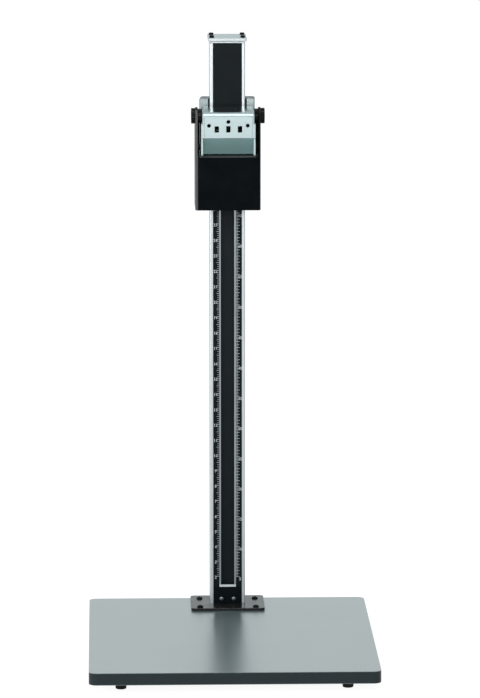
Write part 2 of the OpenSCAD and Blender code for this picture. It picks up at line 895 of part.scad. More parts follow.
// The strip that each side turns in at the back, to close the gap beside the body
module back_returns() {
  inner = body_w / 2 + rail_gap;
  for (side = [-1, 1]) translate([side * (inner + wall_in_x) / 2, housing_back - return_t / 2])
    square([wall_in_x - inner + 2 * fit, return_t], center = true);
}

module housing_cover() {
  color(black) on_carriage() difference() {
    intersection() {
      union() {
        linear_extrude(pivot_z + ear_r) housing_plan();
        translate([0, 0, floor_t + fit]) linear_extrude(pivot_z) back_returns();
      }
      across(housing_w + 2 * cut) housing_side();
    }
    translate([-wall_in_x, -housing_front - cut, housing_front_h])
      cube([2 * wall_in_x, housing_wall + 2 * cut, pivot_z]);
    translate([0, -pivot_y, pivot_z]) bar_x(stud_d + 2 * running, -housing_w, 2 * housing_w);
    for (z = cover_screw_zs)
      translate([0, cover_screw_y, z]) bar_x(cover_screw_d + 2 * fit, -housing_w, 2 * housing_w);
    both_sides() at_cover_screws()
      bar_x(cover_head_d + 2 * fit, cover_seat_x, cover_head_h + cut);
  }
}

module housing_floor() {
  half = wall_in_x - fit;
  front = housing_wall - housing_front + fit;
  color(black) on_carriage() difference() {
    translate([-half, front, 0]) cube([2 * half, housing_back - front, floor_t]);
    translate([-column_w / 2 - floor_gap, -floor_gap, -cut])
      cube([column_w + 2 * floor_gap, column_d, floor_t + 2 * cut]);
  }
}

module at_cover_screws() {
  for (z = cover_screw_zs) translate([0, cover_screw_y, z]) children();
}

module cover_spacers() {
  color(black) on_carriage() both_sides() at_cover_screws() difference() {
    bar_x(cover_spacer_d, body_w / 2, cover_gap);
    bar_x(cover_screw_d + 2 * fit, 0, housing_w / 2);
  }
}

module cover_screws() {
  color(black) on_carriage() both_sides() at_cover_screws()
    translate([cover_seat_x, 0, 0]) rotate([0, 90, 0])
      button_screw(cover_screw_d, cover_screw_len, cover_head_d, cover_head_h);
}

// The friction spacers between the housing's ears and the head
module pivot_spacers() {
  color(black) on_pivot() both_sides() difference() {
    bar_x(spacer_d, washer_in_x + running, wall_in_x - washer_in_x - running);
    bar_x(stud_d + 2 * running, 0, housing_w);
  }
}

// Camera head: a folded plate between two cheeks
module cheek_outline() {
  polygon(concat(
    [deck_rear], fillet(deck_rear, fold, cheek_toe, fold_r),
    fillet(fold, cheek_toe, cheek_heel, cheek_toe_r),
    fillet(cheek_toe, cheek_heel, [cheek_r, 0], cheek_heel_r),
    [cheek_r * [cos(cheek_nose_a), sin(cheek_nose_a)]]
  ));
  circle(cheek_r);
}

module plate_outline() {
  deck_dir = unit(deck_rear - fold);
  lip_dir = unit(lip_end - toe);
  deck_in = deck_rear + head_t * [deck_dir.y, -deck_dir.x];
  lip_in = lip_end + head_t * [-lip_dir.y, lip_dir.x];
  plate_in = [head_t - head_reach, 0];
  fold_in = meet(deck_in, deck_dir, plate_in, [0, 1]);
  toe_in = meet(lip_in, lip_dir, plate_in, [0, 1]);
  polygon(concat(
    [deck_rear], fillet(deck_rear, fold, toe, fold_r), fillet(fold, toe, lip_end, toe_r), [lip_end, lip_in],
    [toe_in], fillet(toe_in, fold_in, deck_in, fold_r - head_t), [deck_in]
  ));
}

module camera_hole() {
  bar_y(camera_hole_d, -head_reach - cut, head_t + 2 * cut);
}

// The stretch of the front plate that covers the cheeks' front edges, w wide and t deep
module apron(w, t) {
  translate([-w / 2, -head_reach, -plate_drop]) cube([w, t, relief_z + plate_drop]);
}

module head_plate() {
  color(satin) on_pivot() difference() {
    union() {
      across(plate_in_w) plate_outline();
      intersection() {
        across(head_w) plate_outline();
        apron(head_w, head_t);
      }
    }
    for (side = [-1, 1])
      translate([side * camera_holes_x / 2, 0, outer_hole_z]) camera_hole();
    translate([0, 0, centre_hole_z]) camera_hole();
    for (i = [-1:1]) translate([i * slot_step, head_t / 2 - head_reach, slot_z])
      cube([slot_w, head_t + 2 * cut, slot_h], center = true);
  }
}

module head_cheeks() {
  color(satin) on_pivot() both_sides() difference() {
    across(cheek_t, (head_w - cheek_t) / 2) cheek_outline();
    translate([washer_in_x, -head_reach - cut, relief_z])
      cube([cheek_t, 2 * head_reach, 2 * head_reach]);
    translate([0, -fit, -fit]) apron(2 * head_w, head_t + 2 * fit);
    bar_x(2 * relief_r, washer_in_x, cheek_t);
    bar_x(stud_d + 2 * fit, 0, housing_w);
  }
}

// The nuts inside the cheeks that the tilt studs pull on
module pivot_nuts() {
  color(steel) on_pivot() both_sides() difference() {
    translate([plate_in_w / 2 - nut_t, 0, 0]) rotate([0, 90, 0]) cylinder(d = nut_w, h = nut_t, $fn = 6);
    bar_x(stud_d + 2 * fit, 0, housing_w);
  }
}

// A knob with a dished face and flutes round its rim
module knob(d, t, flutes, flute_d) {
  dish_r = d / 3;
  difference() {
    rotate_extrude() polygon([
      [0, 0], [d / 2 - knob_edge, 0], [d / 2, knob_edge], [d / 2, t - knob_edge],
      [d / 2 - knob_edge, t], [dish_r, t], [dish_r - knob_edge, t - knob_edge], [0, t - knob_edge]
    ]);
    for (i = [1:flutes]) rotate([0, 0, 360 * i / flutes])
      translate([d / 2 + flute_d * 0.3, 0, -cut]) cylinder(d = flute_d, h = t + 2 * cut, $fn = 16);
  }
}

module tilt_knob() {
  on_pivot() difference() {
    translate([housing_w / 2 + running, 0, 0]) rotate([0, 90, 0])
      knob(tilt_knob_d, tilt_knob_t, tilt_flutes, tilt_flute_d);
    bar_x(stud_d, 0, housing_w / 2 + tilt_knob_t - knob_end_t);
  }
}

// The stud runs from inside the pivot nut into the knob
module tilt_stud() {
  stud_x = plate_in_w / 2 - nut_t - knob_end_t;
  on_pivot() bar_x(stud_d, stud_x, housing_w / 2 + tilt_knob_t - knob_end_t - stud_x);
}

module tilt_knob_left() {
  color(black) mirror([1, 0, 0]) tilt_knob();
}

module tilt_stud_left() {
  color(steel) mirror([1, 0, 0]) tilt_stud();
}

module tilt_knob_right() {
  color(black) tilt_knob();
}

module tilt_stud_right() {
  color(steel) tilt_stud();
}

// Height lock: a knob at the back that presses a padded shoe on the column
module lock_boss() {
  color(satin) on_carriage() translate([0, 0, lock_z]) difference() {
    bar_y(boss_d, body_back_y, boss_len);
    bar_y(lock_stud_d + 2 * running, body_back_y - cut, boss_len + 2 * cut);
  }
}

module lock_knob() {
  color(black) on_carriage() translate([0, 0, lock_z]) difference() {
    translate([0, lock_knob_y, 0]) rotate([-90, 0, 0])
      knob(lock_knob_d, lock_knob_t, lock_lobes, lock_lobe_d);
    bar_y(lock_stud_d, 0, lock_knob_back_y - lock_end_t);
  }
}

module lock_stud() {
  tip_y = shoe_y + shoe_floor + pad_gap;
  color(steel) on_carriage() translate([0, 0, lock_z])
    bar_y(lock_stud_d, tip_y, lock_knob_back_y - lock_end_t - tip_y);
}

module brake_shoe() {
  color(steel) on_carriage() translate([0, 0, lock_z]) difference() {
    union() {
      translate([-shoe_w / 2, shoe_y, -shoe_h / 2]) cube([shoe_w, shoe_t, shoe_h]);
      for (x = [-guide_x, guide_x])
        translate([x, 0, 0]) bar_y(guide_d, shoe_y, guide_end_y - shoe_y);
    }
    bar_y(lock_stud_d + 2 * running, shoe_y + shoe_floor, shoe_t);
  }
}

module brake_pad() {
  color("saddlebrown") on_carriage()
    translate([-shoe_w / 2, shoe_y - pad_t, lock_z - shoe_h / 2]) cube([shoe_w, pad_t, shoe_h]);
}

baseboard();
edge_band();
top_laminate();
bottom_laminate();
rubber_feet();
foot_screws();
foot_flange();
flange_bolts();
flange_nuts();
column();
column_screws();
column_block();
front_screws();
lower_panel();
scale_left();
scale_right();
channel_frame();
channel_liner();
upper_panel();
top_cap();
cap_screws();
drum_bracket();
drum_axle();
spring_drum();
spring_coil();
spring_tape();
tape_anchor();
anchor_clamp();
anchor_screws();
carriage_body();
wiper_plate();
side_glides();
front_axles();
rear_axles();
front_roller_upper();
front_roller_lower();
rear_roller_upper();
rear_roller_lower();
housing_cover();
housing_floor();
cover_spacers();
cover_screws();
pivot_spacers();
head_plate();
head_cheeks();
pivot_nuts();
tilt_knob_left();
tilt_stud_left();
tilt_knob_right();
tilt_stud_right();
lock_boss();
lock_knob();
lock_stud();
brake_shoe();
brake_pad();
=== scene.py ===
"""The looks of a copy stand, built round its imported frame.

Each sub-assembly is a class that makes its own pieces from the frame's nodes. A finish is a
frozen dataclass that makes its material once. Lengths are in metres, in the frame's axes:
+Z is up, +X is to the right as the front is seen, and the front faces -Y.
"""

import logging
import math
from collections.abc import Callable
from dataclasses import dataclass
from enum import Enum

import bmesh
import bpy
import numpy as np
from mathutils import Matrix, Vector


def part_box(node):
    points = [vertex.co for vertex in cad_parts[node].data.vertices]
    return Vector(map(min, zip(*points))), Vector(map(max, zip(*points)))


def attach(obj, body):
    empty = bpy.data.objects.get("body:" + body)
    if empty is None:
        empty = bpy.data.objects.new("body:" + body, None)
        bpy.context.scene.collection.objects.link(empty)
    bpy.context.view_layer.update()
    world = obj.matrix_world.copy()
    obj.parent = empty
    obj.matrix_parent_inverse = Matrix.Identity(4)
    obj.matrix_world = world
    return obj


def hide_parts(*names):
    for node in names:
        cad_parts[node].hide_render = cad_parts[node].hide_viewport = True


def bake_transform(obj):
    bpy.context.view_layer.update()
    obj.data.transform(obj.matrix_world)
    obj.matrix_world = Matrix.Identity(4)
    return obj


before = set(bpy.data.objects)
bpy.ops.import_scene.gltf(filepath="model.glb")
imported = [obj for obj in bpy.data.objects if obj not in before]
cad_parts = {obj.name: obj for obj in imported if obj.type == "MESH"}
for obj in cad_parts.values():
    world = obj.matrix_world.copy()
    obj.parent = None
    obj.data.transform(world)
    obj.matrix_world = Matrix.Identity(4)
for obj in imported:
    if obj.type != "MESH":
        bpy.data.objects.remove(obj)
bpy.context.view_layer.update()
LOG = logging.getLogger("copy_stand")
MM = 0.001
FORWARD = Vector((0, -1, 0))
BACKWARD = Vector((0, 1, 0))
RIGHTWARD = Vector((1, 0, 0))
Socket = bpy.types.NodeSocket
Colour = tuple[float, float, float, float]
Profile = list[tuple[float, float]]


class Grain(Enum):
    """The way that drawn or brushed marks run, as the stretch of a pattern on X, Y and Z."""

    ALONG_X = (1.0, 40.0, 40.0)
    ALONG_Z = (40.0, 40.0, 1.0)
    EVEN = (12.0, 12.0, 12.0)


class Side(Enum):
    """The side of the stand that a piece is on, as the sign of its X."""

    LEFT = -1
    RIGHT = 1


def linear(code: str) -> tuple[float, float, float]:
    """Turns a written colour into linear light.

    Args:
        code: six hexadecimal digits, as in "35393c".

    Returns:
        Red, green and blue, each from 0 to 1.
    """
    values = [int(code[i:i + 2], 16) / 255 for i in (0, 2, 4)]
    return tuple(v / 12.92 if v <= 0.04045 else ((v + 0.055) / 1.055) ** 2.4 for v in values)


# Shapes as whole arrays


@dataclass(frozen=True)
class Shell:
    """A surface as arrays.

    Attributes:
        points: the points, as rows of 3.
        faces: the faces that join them, as arrays of point numbers.
    """

    points: np.ndarray
    faces: tuple[np.ndarray, ...]

    def placed(self, origin: Vector, axis: Vector = Vector((0, 0, 1)), turn: float = 0.0) -> "Shell":
        """Turns the shell's +Z to an axis and moves it.

        Args:
            origin: where the shell's own origin goes.
            axis: the direction that its +Z takes.
            turn: a turn about its own +Z first, in radians.

        Returns:
            The placed shell.
        """
        turned = Vector(axis).to_track_quat("Z", "Y").to_matrix() @ Matrix.Rotation(turn, 3, "Z")
        return Shell(self.points @ np.array(turned).T + np.array(origin), self.faces)


def joined(shells: list[Shell]) -> Shell:
    """Puts several shells into one, with each one's point numbers raised by the points before it.

    Args:
        shells: the shells to join.

    Returns:
        One shell that holds them all.
    """
    starts = np.cumsum([0] + [len(s.points) for s in shells[:-1]])
    faces = tuple(f + start for s, start in zip(shells, starts) for f in s.faces)
    return Shell(np.concatenate([s.points for s in shells]), faces)


def loft(rings: np.ndarray, closed: bool = False) -> Shell:
    """Joins rings of points into a skin.

    Point j of ring i is joined to point j + 1 and to the same points of ring i + 1. Rings run
    anticlockwise as seen from where they go, so that the faces point outwards.

    Args:
        rings: an array of rings by points by 3.
        closed: True joins the last ring to the first; False closes each end with a middle point.

    Returns:
        The skin.
    """
    count, sides = rings.shape[:2]
    i = np.arange(count if closed else count - 1)[:, None]
    j = np.arange(sides)[None, :]
    near, far = i * sides, (i + 1) % count * sides
    after = (j + 1) % sides
    quads = np.stack([near + j, near + after, far + after, far + j], -1).reshape(-1, 4)
    points = rings.reshape(-1, 3)
    if closed:
        return Shell(points, (quads,))
    first, last = len(points), len(points) + 1
    j, after = j[0], after[0]
    top = (count - 1) * sides
    lower = np.stack([np.full(sides, first), after, j], -1)
    upper = np.stack([np.full(sides, last), top + j, top + after], -1)
    points = np.concatenate([points, rings[:1].mean(1), rings[-1:].mean(1)])
    return Shell(points, (quads, lower, upper))


def arc(x: float, y: float, radius: float, start: float, end: float, count: int) -> Profile:
    """Points of an arc: x + r cos t and y + r sin t.

    Args:
        x: its centre's first coordinate.
        y: its centre's second coordinate.
        radius: its radius.
        start: its first angle in degrees.
        end: its last angle in degrees.
        count: how many points it has.

    Returns:
        The points.
    """
    turn = np.radians(np.linspace(start, end, count))
    return list(zip(x + radius * np.cos(turn), y + radius * np.sin(turn)))


def turned_rings(profile: Profile, sides: int) -> np.ndarray:
    """Carries a profile round +Z: x = r cos a, y = r sin a, z = h.

    Args:
        profile: radius r and height h of each ring.
        sides: how many points a ring has.

    Returns:
        The rings.
    """
    r, h = np.array(profile, float).T[:, :, None]
    a = np.linspace(0, 2 * np.pi, sides, endpoint=False)[None, :]
    return np.stack([r * np.cos(a), r * np.sin(a), h + 0 * a], -1)


def slab_rings(width: float, depth: float, radius: float, profile: Profile) -> np.ndarray:
    """Carries a profile round a rounded rectangle.

    At an inset i the outline keeps its corner centres while i is below the corner radius, so
    its corner radius is r - i, and from there on the straight sides close in by i.

    Args:
        width: the outline's size along X.
        depth: the outline's size along Y.
        radius: its corner radius.
        profile: inset and height of each ring.

    Returns:
        The rings, centred on the Z axis.
    """
    steps, least = 9, 0.2 * MM
    inset, height = np.array(profile, float).T[:, :, None]
    angle = (np.arange(4)[:, None] * np.pi / 2 + np.linspace(0, np.pi / 2, steps)).ravel()[None, :]
    signs = np.repeat([[1, -1, -1, 1], [1, 1, -1, -1]], steps, axis=1)
    corner = np.maximum(radius - inset, least)
    x = signs[0] * (width / 2 - inset - corner) + corner * np.cos(angle)
    y = signs[1] * (depth / 2 - inset - corner) + corner * np.sin(angle)
    return np.stack([x, y, height + 0 * angle], -1)


def boxes(lower: np.ndarray, upper: np.ndarray) -> Shell:
    """Many boxes at once: each corner takes its X, Y and Z from the lower or the upper corner.

    Args:
        lower: the lowest corners, as rows of 3.
        upper: the highest corners, as rows of 3.

    Returns:
        One shell with all the boxes.
    """
    pick = np.array([[i & 1, i >> 1 & 1, i >> 2 & 1] for i in range(8)])
    points = lower[:, None, :] * (1 - pick) + upper[:, None, :] * pick
    quads = np.array([[0, 2, 3, 1], [4, 5, 7, 6], [0, 1, 5, 4], [2, 6, 7, 3], [0, 4, 6, 2], [1, 3, 7, 5]])
    faces = np.arange(len(lower))[:, None, None] * 8 + quads
    return Shell(points.reshape(-1, 3), (faces.reshape(-1, 4),))


# Node trees


class Graph:
    """A node tree that is filled step by step."""

    def __init__(self, tree: bpy.types.NodeTree) -> None:
        """Keeps the tree and empties it."""
        self.tree = tree
        tree.nodes.clear()

    def add(self, kind: str, sockets: dict | None = None, **settings: object) -> bpy.types.Node:
        """Adds one node.

        Args:
            kind: the node's type.
            sockets: what goes into its inputs, by name or number: a value, or a socket to link.
            settings: the node's own options.

        Returns:
            The node.
        """
        node = self.tree.nodes.new(kind)
        for name, value in settings.items():
            setattr(node, name, value)
        for key, value in (sockets or {}).items():
            if isinstance(value, Socket):
                self.tree.links.new(value, node.inputs[key])
            else:
                node.inputs[key].default_value = value
        return node

    def maths(self, operation: str, first: object, second: object = 0.0, clamp: bool = False) -> Socket:
        """One step of arithmetic, as a Math node's output."""
        sockets = {0: first, 1: second}
        return self.add("ShaderNodeMath", sockets, operation=operation, use_clamp=clamp).outputs[0]

    def times(self, first: object, second: object, clamp: bool = False) -> Socket:
        """The product of two values."""
        return self.maths("MULTIPLY", first, second, clamp)

    def ramp(self, value: object, low: float, high: float, start: float, end: float) -> Socket:
        """Maps a value from start..end to low..high, held at both ends."""
        sockets = {"Value": value, "From Min": start, "From Max": end, "To Min": low, "To Max": high}
        return self.add("ShaderNodeMapRange", sockets).outputs[0]

    def blend(self, factor: object, first: object, second: object) -> Socket:
        """Mixes two colours by a factor, as a Mix node's output."""
        return self.add("ShaderNodeMix", {0: factor, 6: first, 7: second}, data_type="RGBA").outputs[2]

    def place(self) -> Socket:
        """The place on the piece, in Object coordinates."""
        return self.add("ShaderNodeTexCoord").outputs["Object"]

    def axes(self, vector: Socket) -> tuple[Socket, Socket, Socket]:
        """The X, Y and Z of a vector."""
        return tuple(self.add("ShaderNodeSeparateXYZ", {0: vector}).outputs)

    def noise(self, scale: object, detail: float, place: Socket | None = None, **more: float) -> Socket:
        """Adds noise.

        Args:
            scale: how fine it is.
            detail: how many finer layers it has.
            place: the vector it reads, or None for the place on the piece.
            more: the node's other inputs.

        Returns:
            The noise, from 0 to 1.
        """
        vector = self.place() if place is None else place
        sockets = {"Vector": vector, "Scale": scale, "Detail": detail, **more}
        return self.add("ShaderNodeTexNoise", sockets).outputs["Fac"]

    def bump(self, height: Socket, strength: float, distance: float) -> Socket:
        """The normal that a height bends, as a Bump node's output."""
        sockets = {"Height": height, "Strength": strength, "Distance": distance}
        return self.add("ShaderNodeBump", sockets).outputs[0]

    def effect(self, name: str, **values: object) -> Socket:
        """Places one of the shared effects with its own values, and gives its output."""
        sockets = {key.title(): value for key, value in values.items()}
        return self.add("ShaderNodeGroup", sockets, node_tree=EFFECTS[name].tree()).outputs[0]


@dataclass(frozen=True)
class Effect:
    """A shared node group, filled once, that puts out one number.

    Attributes:
        name: the group's name.
        output: the name of its output.
        inputs: the name and the kind of each input.
        fill: works out the output in the group's graph, from its inputs in order.
    """

    name: str
    output: str
    inputs: dict[str, str]
    fill: Callable[..., Socket]

    def tree(self) -> bpy.types.NodeTree:
        """Makes the group, or gives the one made before.

        Returns:
            The group's tree.
        """
        if self.name in bpy.data.node_groups:
            return bpy.data.node_groups[self.name]
        tree = bpy.data.node_groups.new(self.name, "ShaderNodeTree")
        graph = Graph(tree)
        for title, kind in self.inputs.items():
            tree.interface.new_socket(name=title, in_out="INPUT", socket_type="NodeSocket" + kind)
        tree.interface.new_socket(name=self.output, in_out="OUTPUT", socket_type="NodeSocketFloat")
        given = graph.add("NodeGroupInput").outputs
        result = self.fill(graph, *(given[title] for title in self.inputs))
        graph.add("NodeGroupOutput", {self.output: result})
        return tree


def streaks(graph: Graph, stretch: Socket, scale: Socket) -> Socket:
    """Drawn or brushed marks: noise on Object coordinates, stretched by a vector, from 0 to 1."""
    stretched = graph.add("ShaderNodeVectorMath", {0: graph.place(), 1: stretch}, operation="MULTIPLY")
    return graph.ramp(graph.noise(scale, 3.0, stretched.outputs[0], Roughness=0.65), 0, 1, 0.25, 0.75)


def grain(graph: Graph, scale: Socket) -> Socket:
    """Fine even grain of a coat or a moulding, as two sizes of noise added.

    Args:
        graph: the group's graph.
        scale: how fine the grain is.

    Returns:
        The grain's height, from 0 to 1.
    """
    fine = graph.times(graph.noise(scale, 2.0), 0.65)
    wide = graph.times(graph.noise(graph.times(scale, 0.3), 1.0), 0.35)
    return graph.ramp(graph.maths("ADD", fine, wide), 0, 1, 0.3, 0.7)


def handling(graph: Graph, scale: Socket, low: Socket, high: Socket) -> Socket:
    """Soft uneven patches from handling.

    Args:
        graph: the group's graph.
        scale: how fine the patches are.
        low: the smoothest roughness.
        high: the roughest roughness.

    Returns:
        The roughness.
    """
    patches = graph.noise(scale, 4.0, Roughness=0.6, Distortion=0.4)
    sockets = {"Value": patches, "From Min": 0.3, "From Max": 0.7, "To Min": low, "To Max": high}
    return graph.add("ShaderNodeMapRange", sockets, interpolation_type="SMOOTHSTEP").outputs[0]


def edges(graph: Graph, radius: Socket, breakup: Socket) -> Socket:
    """Worn or burnished edges: how far a rounded normal leans from the true one, broken by noise.

    Args:
        graph: the group's graph.
        radius: how far the wear comes from an edge.
        breakup: how fine the noise is that breaks it up.

    Returns:
        The mask of the edges, from 0 to 1.
    """
    rounded = graph.add("ShaderNodeBevel", {"Radius": radius}, samples=4).outputs[0]
    true = graph.add("ShaderNodeNewGeometry").outputs["Normal"]
    lean = graph.add("ShaderNodeVectorMath", {0: rounded, 1: true}, operation="DOT_PRODUCT")
    edge = graph.ramp(lean.outputs["Value"], 1, 0, 0.75, 0.99)
    return graph.times(edge, graph.ramp(graph.noise(breakup, 3.0), 0.2, 1, 0.35, 0.6), clamp=True)


def dust(graph: Graph, amount: Socket, scale: Socket) -> Socket:
    """A thin film of dust: most on what faces up, in soft patches.

    Args:
        graph: the group's graph.
        amount: how much dust there is at most.
        scale: how fine the patches are.

    Returns:
        The mask of the dust, from 0 to the amount.
    """
    _, _, facing = graph.axes(graph.add("ShaderNodeNewGeometry").outputs["Normal"])
    up = graph.ramp(facing, 0.15, 1, 0.2, 0.95)
    patches = graph.ramp(graph.noise(scale, 5.0), 0.3, 1, 0.4, 0.65)
    return graph.times(graph.times(up, patches), amount)


EFFECTS = {effect.name: effect for effect in (
    Effect("streaks", "Mask", {"Stretch": "Vector", "Scale": "Float"}, streaks),
    Effect("grain", "Height", {"Scale": "Float"}, grain),
    Effect("handling", "Roughness", {"Scale": "Float", "Low": "Float", "High": "Float"}, handling),
    Effect("edges", "Mask", {"Radius": "Float", "Breakup": "Float"}, edges),
    Effect("dust", "Mask", {"Amount": "Float", "Scale": "Float"}, dust),
)}


# Finishes

DUST = (0.5, 0.49, 0.47, 1)
THIN_COAT = (0.12, 0.125, 0.13, 1)
# The grey of the painted highlights on the housing's front corners and top edge.
PAINTED_HIGHLIGHT_GREY = (0.095, 0.097, 0.1, 1)
# Black for the painted shade inside the carriage housing.
PAINTED_SHADE_BLACK = (0.003, 0.004, 0.005, 1)
# A painted reflection: the head's lip, paler and greener for the light it reflects from below.
LIP_PAINTED_REFLECTION = (0.43, 0.66, 0.65, 1)
COAT_IOR = 1.6


@dataclass(frozen=True)
class Finish:
    """A surface finish, whose material is made once and shared.

    Attributes:
        name: the material's name.
        colour: the colour as written.
        low: the smoothest roughness.
        high: the roughest roughness.
        gloss: the specular level, where 0.5 is what the refraction index gives.
        ior: the refraction index.
        coat: how much of a clear coat lies on top.
        shades: the darkest and the palest factor of the colour.
        patch: how fine the patches from handling are.
    """

    name: str
    colour: str
    low: float
    high: float
    gloss: float = 0.5
    ior: float = 1.5
    coat: float = 0.0
    shades: tuple[float, float] = (0.9, 1.1)
    patch: float = 20.0

    def material(self) -> bpy.types.Material:
        """Makes the material, or gives the one made before.

        Returns:
            The material.
        """
        if self.name in bpy.data.materials:
            return bpy.data.materials[self.name]
        made = bpy.data.materials.new(self.name)
        made.use_nodes = True
        graph = Graph(made.node_tree)
        shader = graph.add("ShaderNodeBsdfPrincipled", self.surface(graph) | {
            "Specular IOR Level": self.gloss, "IOR": self.ior, "Coat Weight": self.coat,
            "Coat Roughness": self.high, "Coat IOR": COAT_IOR})
        graph.add("ShaderNodeOutputMaterial", {"Surface": shader.outputs[0]})
        return made

    def surface(self, graph: Graph) -> dict:
        """What goes into the shader's sockets; each finish has its own."""
        raise NotImplementedError

    def shade(self, factor: float) -> Colour:
        """The colour in linear light, times a factor."""
        return (*(min(1.0, c * factor) for c in linear(self.colour)), 1.0)

    def shaded(self, graph: Graph, mask: Socket) -> Socket:
        """The colour between its darkest and its palest shade, by a mask."""
        return graph.blend(mask, self.shade(self.shades[0]), self.shade(self.shades[1]))

    def rough(self, graph: Graph) -> Socket:
        """The roughness, uneven from handling."""
        return graph.effect("handling", scale=self.patch, low=self.low, high=self.high)


@dataclass(frozen=True)
class WornFinish(Finish):
    """A finish that is paler where its edges wear.

    Attributes:
        reach: how far the wear comes from an edge.
        breakup: how fine the noise is that breaks it up.
        edge: how much of the paler colour shows there.
        pale: the paler colour's factor of the colour.
    """

    reach: float = 0.5 * MM
    breakup: float = 120.0
    edge: float = 0.4
    pale: float = 1.15

    def worn(self, graph: Graph) -> Socket:
        """The mask of the worn edges."""
        return graph.effect("edges", radius=self.reach, breakup=self.breakup)

    def paler(self) -> Colour:
        """The colour that shows where an edge is worn."""
        return self.shade(self.pale)

    def rubbed(self, graph: Graph, worn: Socket, colour: Socket) -> Socket:
        """The colour, paler where the mask says that it is worn."""
        return graph.blend(graph.times(worn, self.edge), colour, self.paler())


@dataclass(frozen=True)
class Metal(WornFinish):
    """Bare, drawn or anodised metal with marks along one way.

    Attributes:
        marks: which way the marks run.
        depth: how deep the marks are in the bump.
        scale: how fine the marks are.
        burnish: how much smoother a worn edge is.
    """

    shades: tuple[float, float] = (0.93, 1.04)
    patch: float = 14.0
    breakup: float = 160.0
    edge: float = 0.5
    marks: Grain = Grain.ALONG_Z
    depth: float = 0.06
    scale: float = 22.0
    burnish: float = 0.08

    def surface(self, graph: Graph) -> dict:
        """Streaks change the colour and the height, and handling and edges the roughness.

        Args:
            graph: the material's graph.

        Returns:
            The values and links for the shader's inputs, by name.
        """
        drawn = graph.effect("streaks", stretch=self.marks.value, scale=self.scale)
        worn = self.worn(graph)
        return {
            "Base Color": self.rubbed(graph, worn, self.shaded(graph, drawn)),
            "Metallic": 1.0,
            "Roughness": graph.maths("SUBTRACT", self.rough(graph), graph.times(worn, self.burnish)),
            "Normal": graph.bump(drawn, self.depth, 0.1 * MM),
        }


@dataclass(frozen=True)
class FrontPainted(Metal):
    """Metal whose front is painted black below a height: painted shade for the dark inside of the housing.

    Attributes:
        front: what is in front of this Y takes the painted shade.
        top: the painted shade ends at this height.
    """

    front: float = 0.0
    top: float = 0.0

    def surface(self, graph: Graph) -> dict:
        """The bare metal, with black painted shade where the place is in front and low enough.

        Args:
            graph: the material's graph.

        Returns:
            The values and links for the shader's inputs, by name.
        """
        sockets = super().surface(graph)
        _, y, z = graph.axes(graph.place())
        # Painted shade: black where the inside of the housing lies in shade.
        painted = graph.times(graph.maths("LESS_THAN", y, self.front), graph.maths("LESS_THAN", z, self.top))
        sockets["Base Color"] = graph.blend(painted, sockets["Base Color"], PAINTED_SHADE_BLACK)
        sockets["Metallic"] = graph.maths("SUBTRACT", 1.0, painted)
        return sockets


@dataclass(frozen=True)
class DeckPolished(Metal):
    """Brushed metal whose top deck is polished and whose lip below takes a painted reflection, paler and
    greener for the light it reflects from below.

    Attributes:
        behind: the deck is behind this Y.
        above: the deck is above this height.
        lip: the lip, below this height, takes the painted reflection.
        polish: the deck's share of the brushed roughness.
    """

    behind: float = 0.0
    above: float = 0.0
    lip: float = 0.0
    polish: float = 0.45

    def surface(self, graph: Graph) -> dict:
        """The brushed metal, smoother where the place is behind and high, and with a greener painted
        reflection where it is low.

        Args:
            graph: the material's graph.

        Returns:
            The values and links for the shader's inputs, by name.
        """
        sockets = super().surface(graph)
        _, y, z = graph.axes(graph.place())
        back = graph.maths("GREATER_THAN", y, self.behind)
        deck = graph.times(back, graph.maths("GREATER_THAN", z, self.above))
        share = graph.ramp(deck, 1.0, self.polish, 0.0, 1.0)
        sockets["Roughness"] = graph.times(sockets["Roughness"], share)
        # Painted reflection on the lip, for the light it reflects from below.
        low = graph.maths("LESS_THAN", z, self.lip)
        sockets["Base Color"] = graph.blend(low, sockets["Base Color"], LIP_PAINTED_REFLECTION)
        return sockets


@dataclass(frozen=True)
class Coat(WornFinish):
    """A black coat on metal: satin or powder, with fine grain and grey edges.

    Attributes:
        grain_scale: how fine the coat's grain is.
        grain_depth: how strong the grain is in the bump.
        dusty: how much dust lies on what faces up.
        dulled: how much rougher the dust makes the coat.
    """

    shades: tuple[float, float] = (0.85, 1.15)
    patch: float = 18.0
    reach: float = 0.6 * MM
    breakup: float = 220.0
    edge: float = 0.35
    grain_scale: float = 1500.0
    grain_depth: float = 0.15
    dusty: float = 0.03
    dulled: float = 2.0

    def paler(self) -> Colour:
        """The grey that shows where the coat is thin, whatever its own colour."""
        return THIN_COAT

    def surface(self, graph: Graph) -> dict:
        """Grain bends the light, edges and dust lighten the colour, handling changes the gloss.

        Args:
            graph: the material's graph.

        Returns:
            The values and links for the shader's inputs, by name.
        """
        fine = graph.effect("grain", scale=self.grain_scale)
        film = graph.effect("dust", amount=self.dusty, scale=30.0)
        colour = self.rubbed(graph, self.worn(graph), self.shaded(graph, fine))
        return {
            "Base Color": graph.blend(film, colour, DUST),
            "Roughness": graph.maths("ADD", self.rough(graph), graph.times(film, self.dulled), clamp=True),
            "Normal": graph.bump(fine, self.grain_depth, 0.05 * MM),
        }


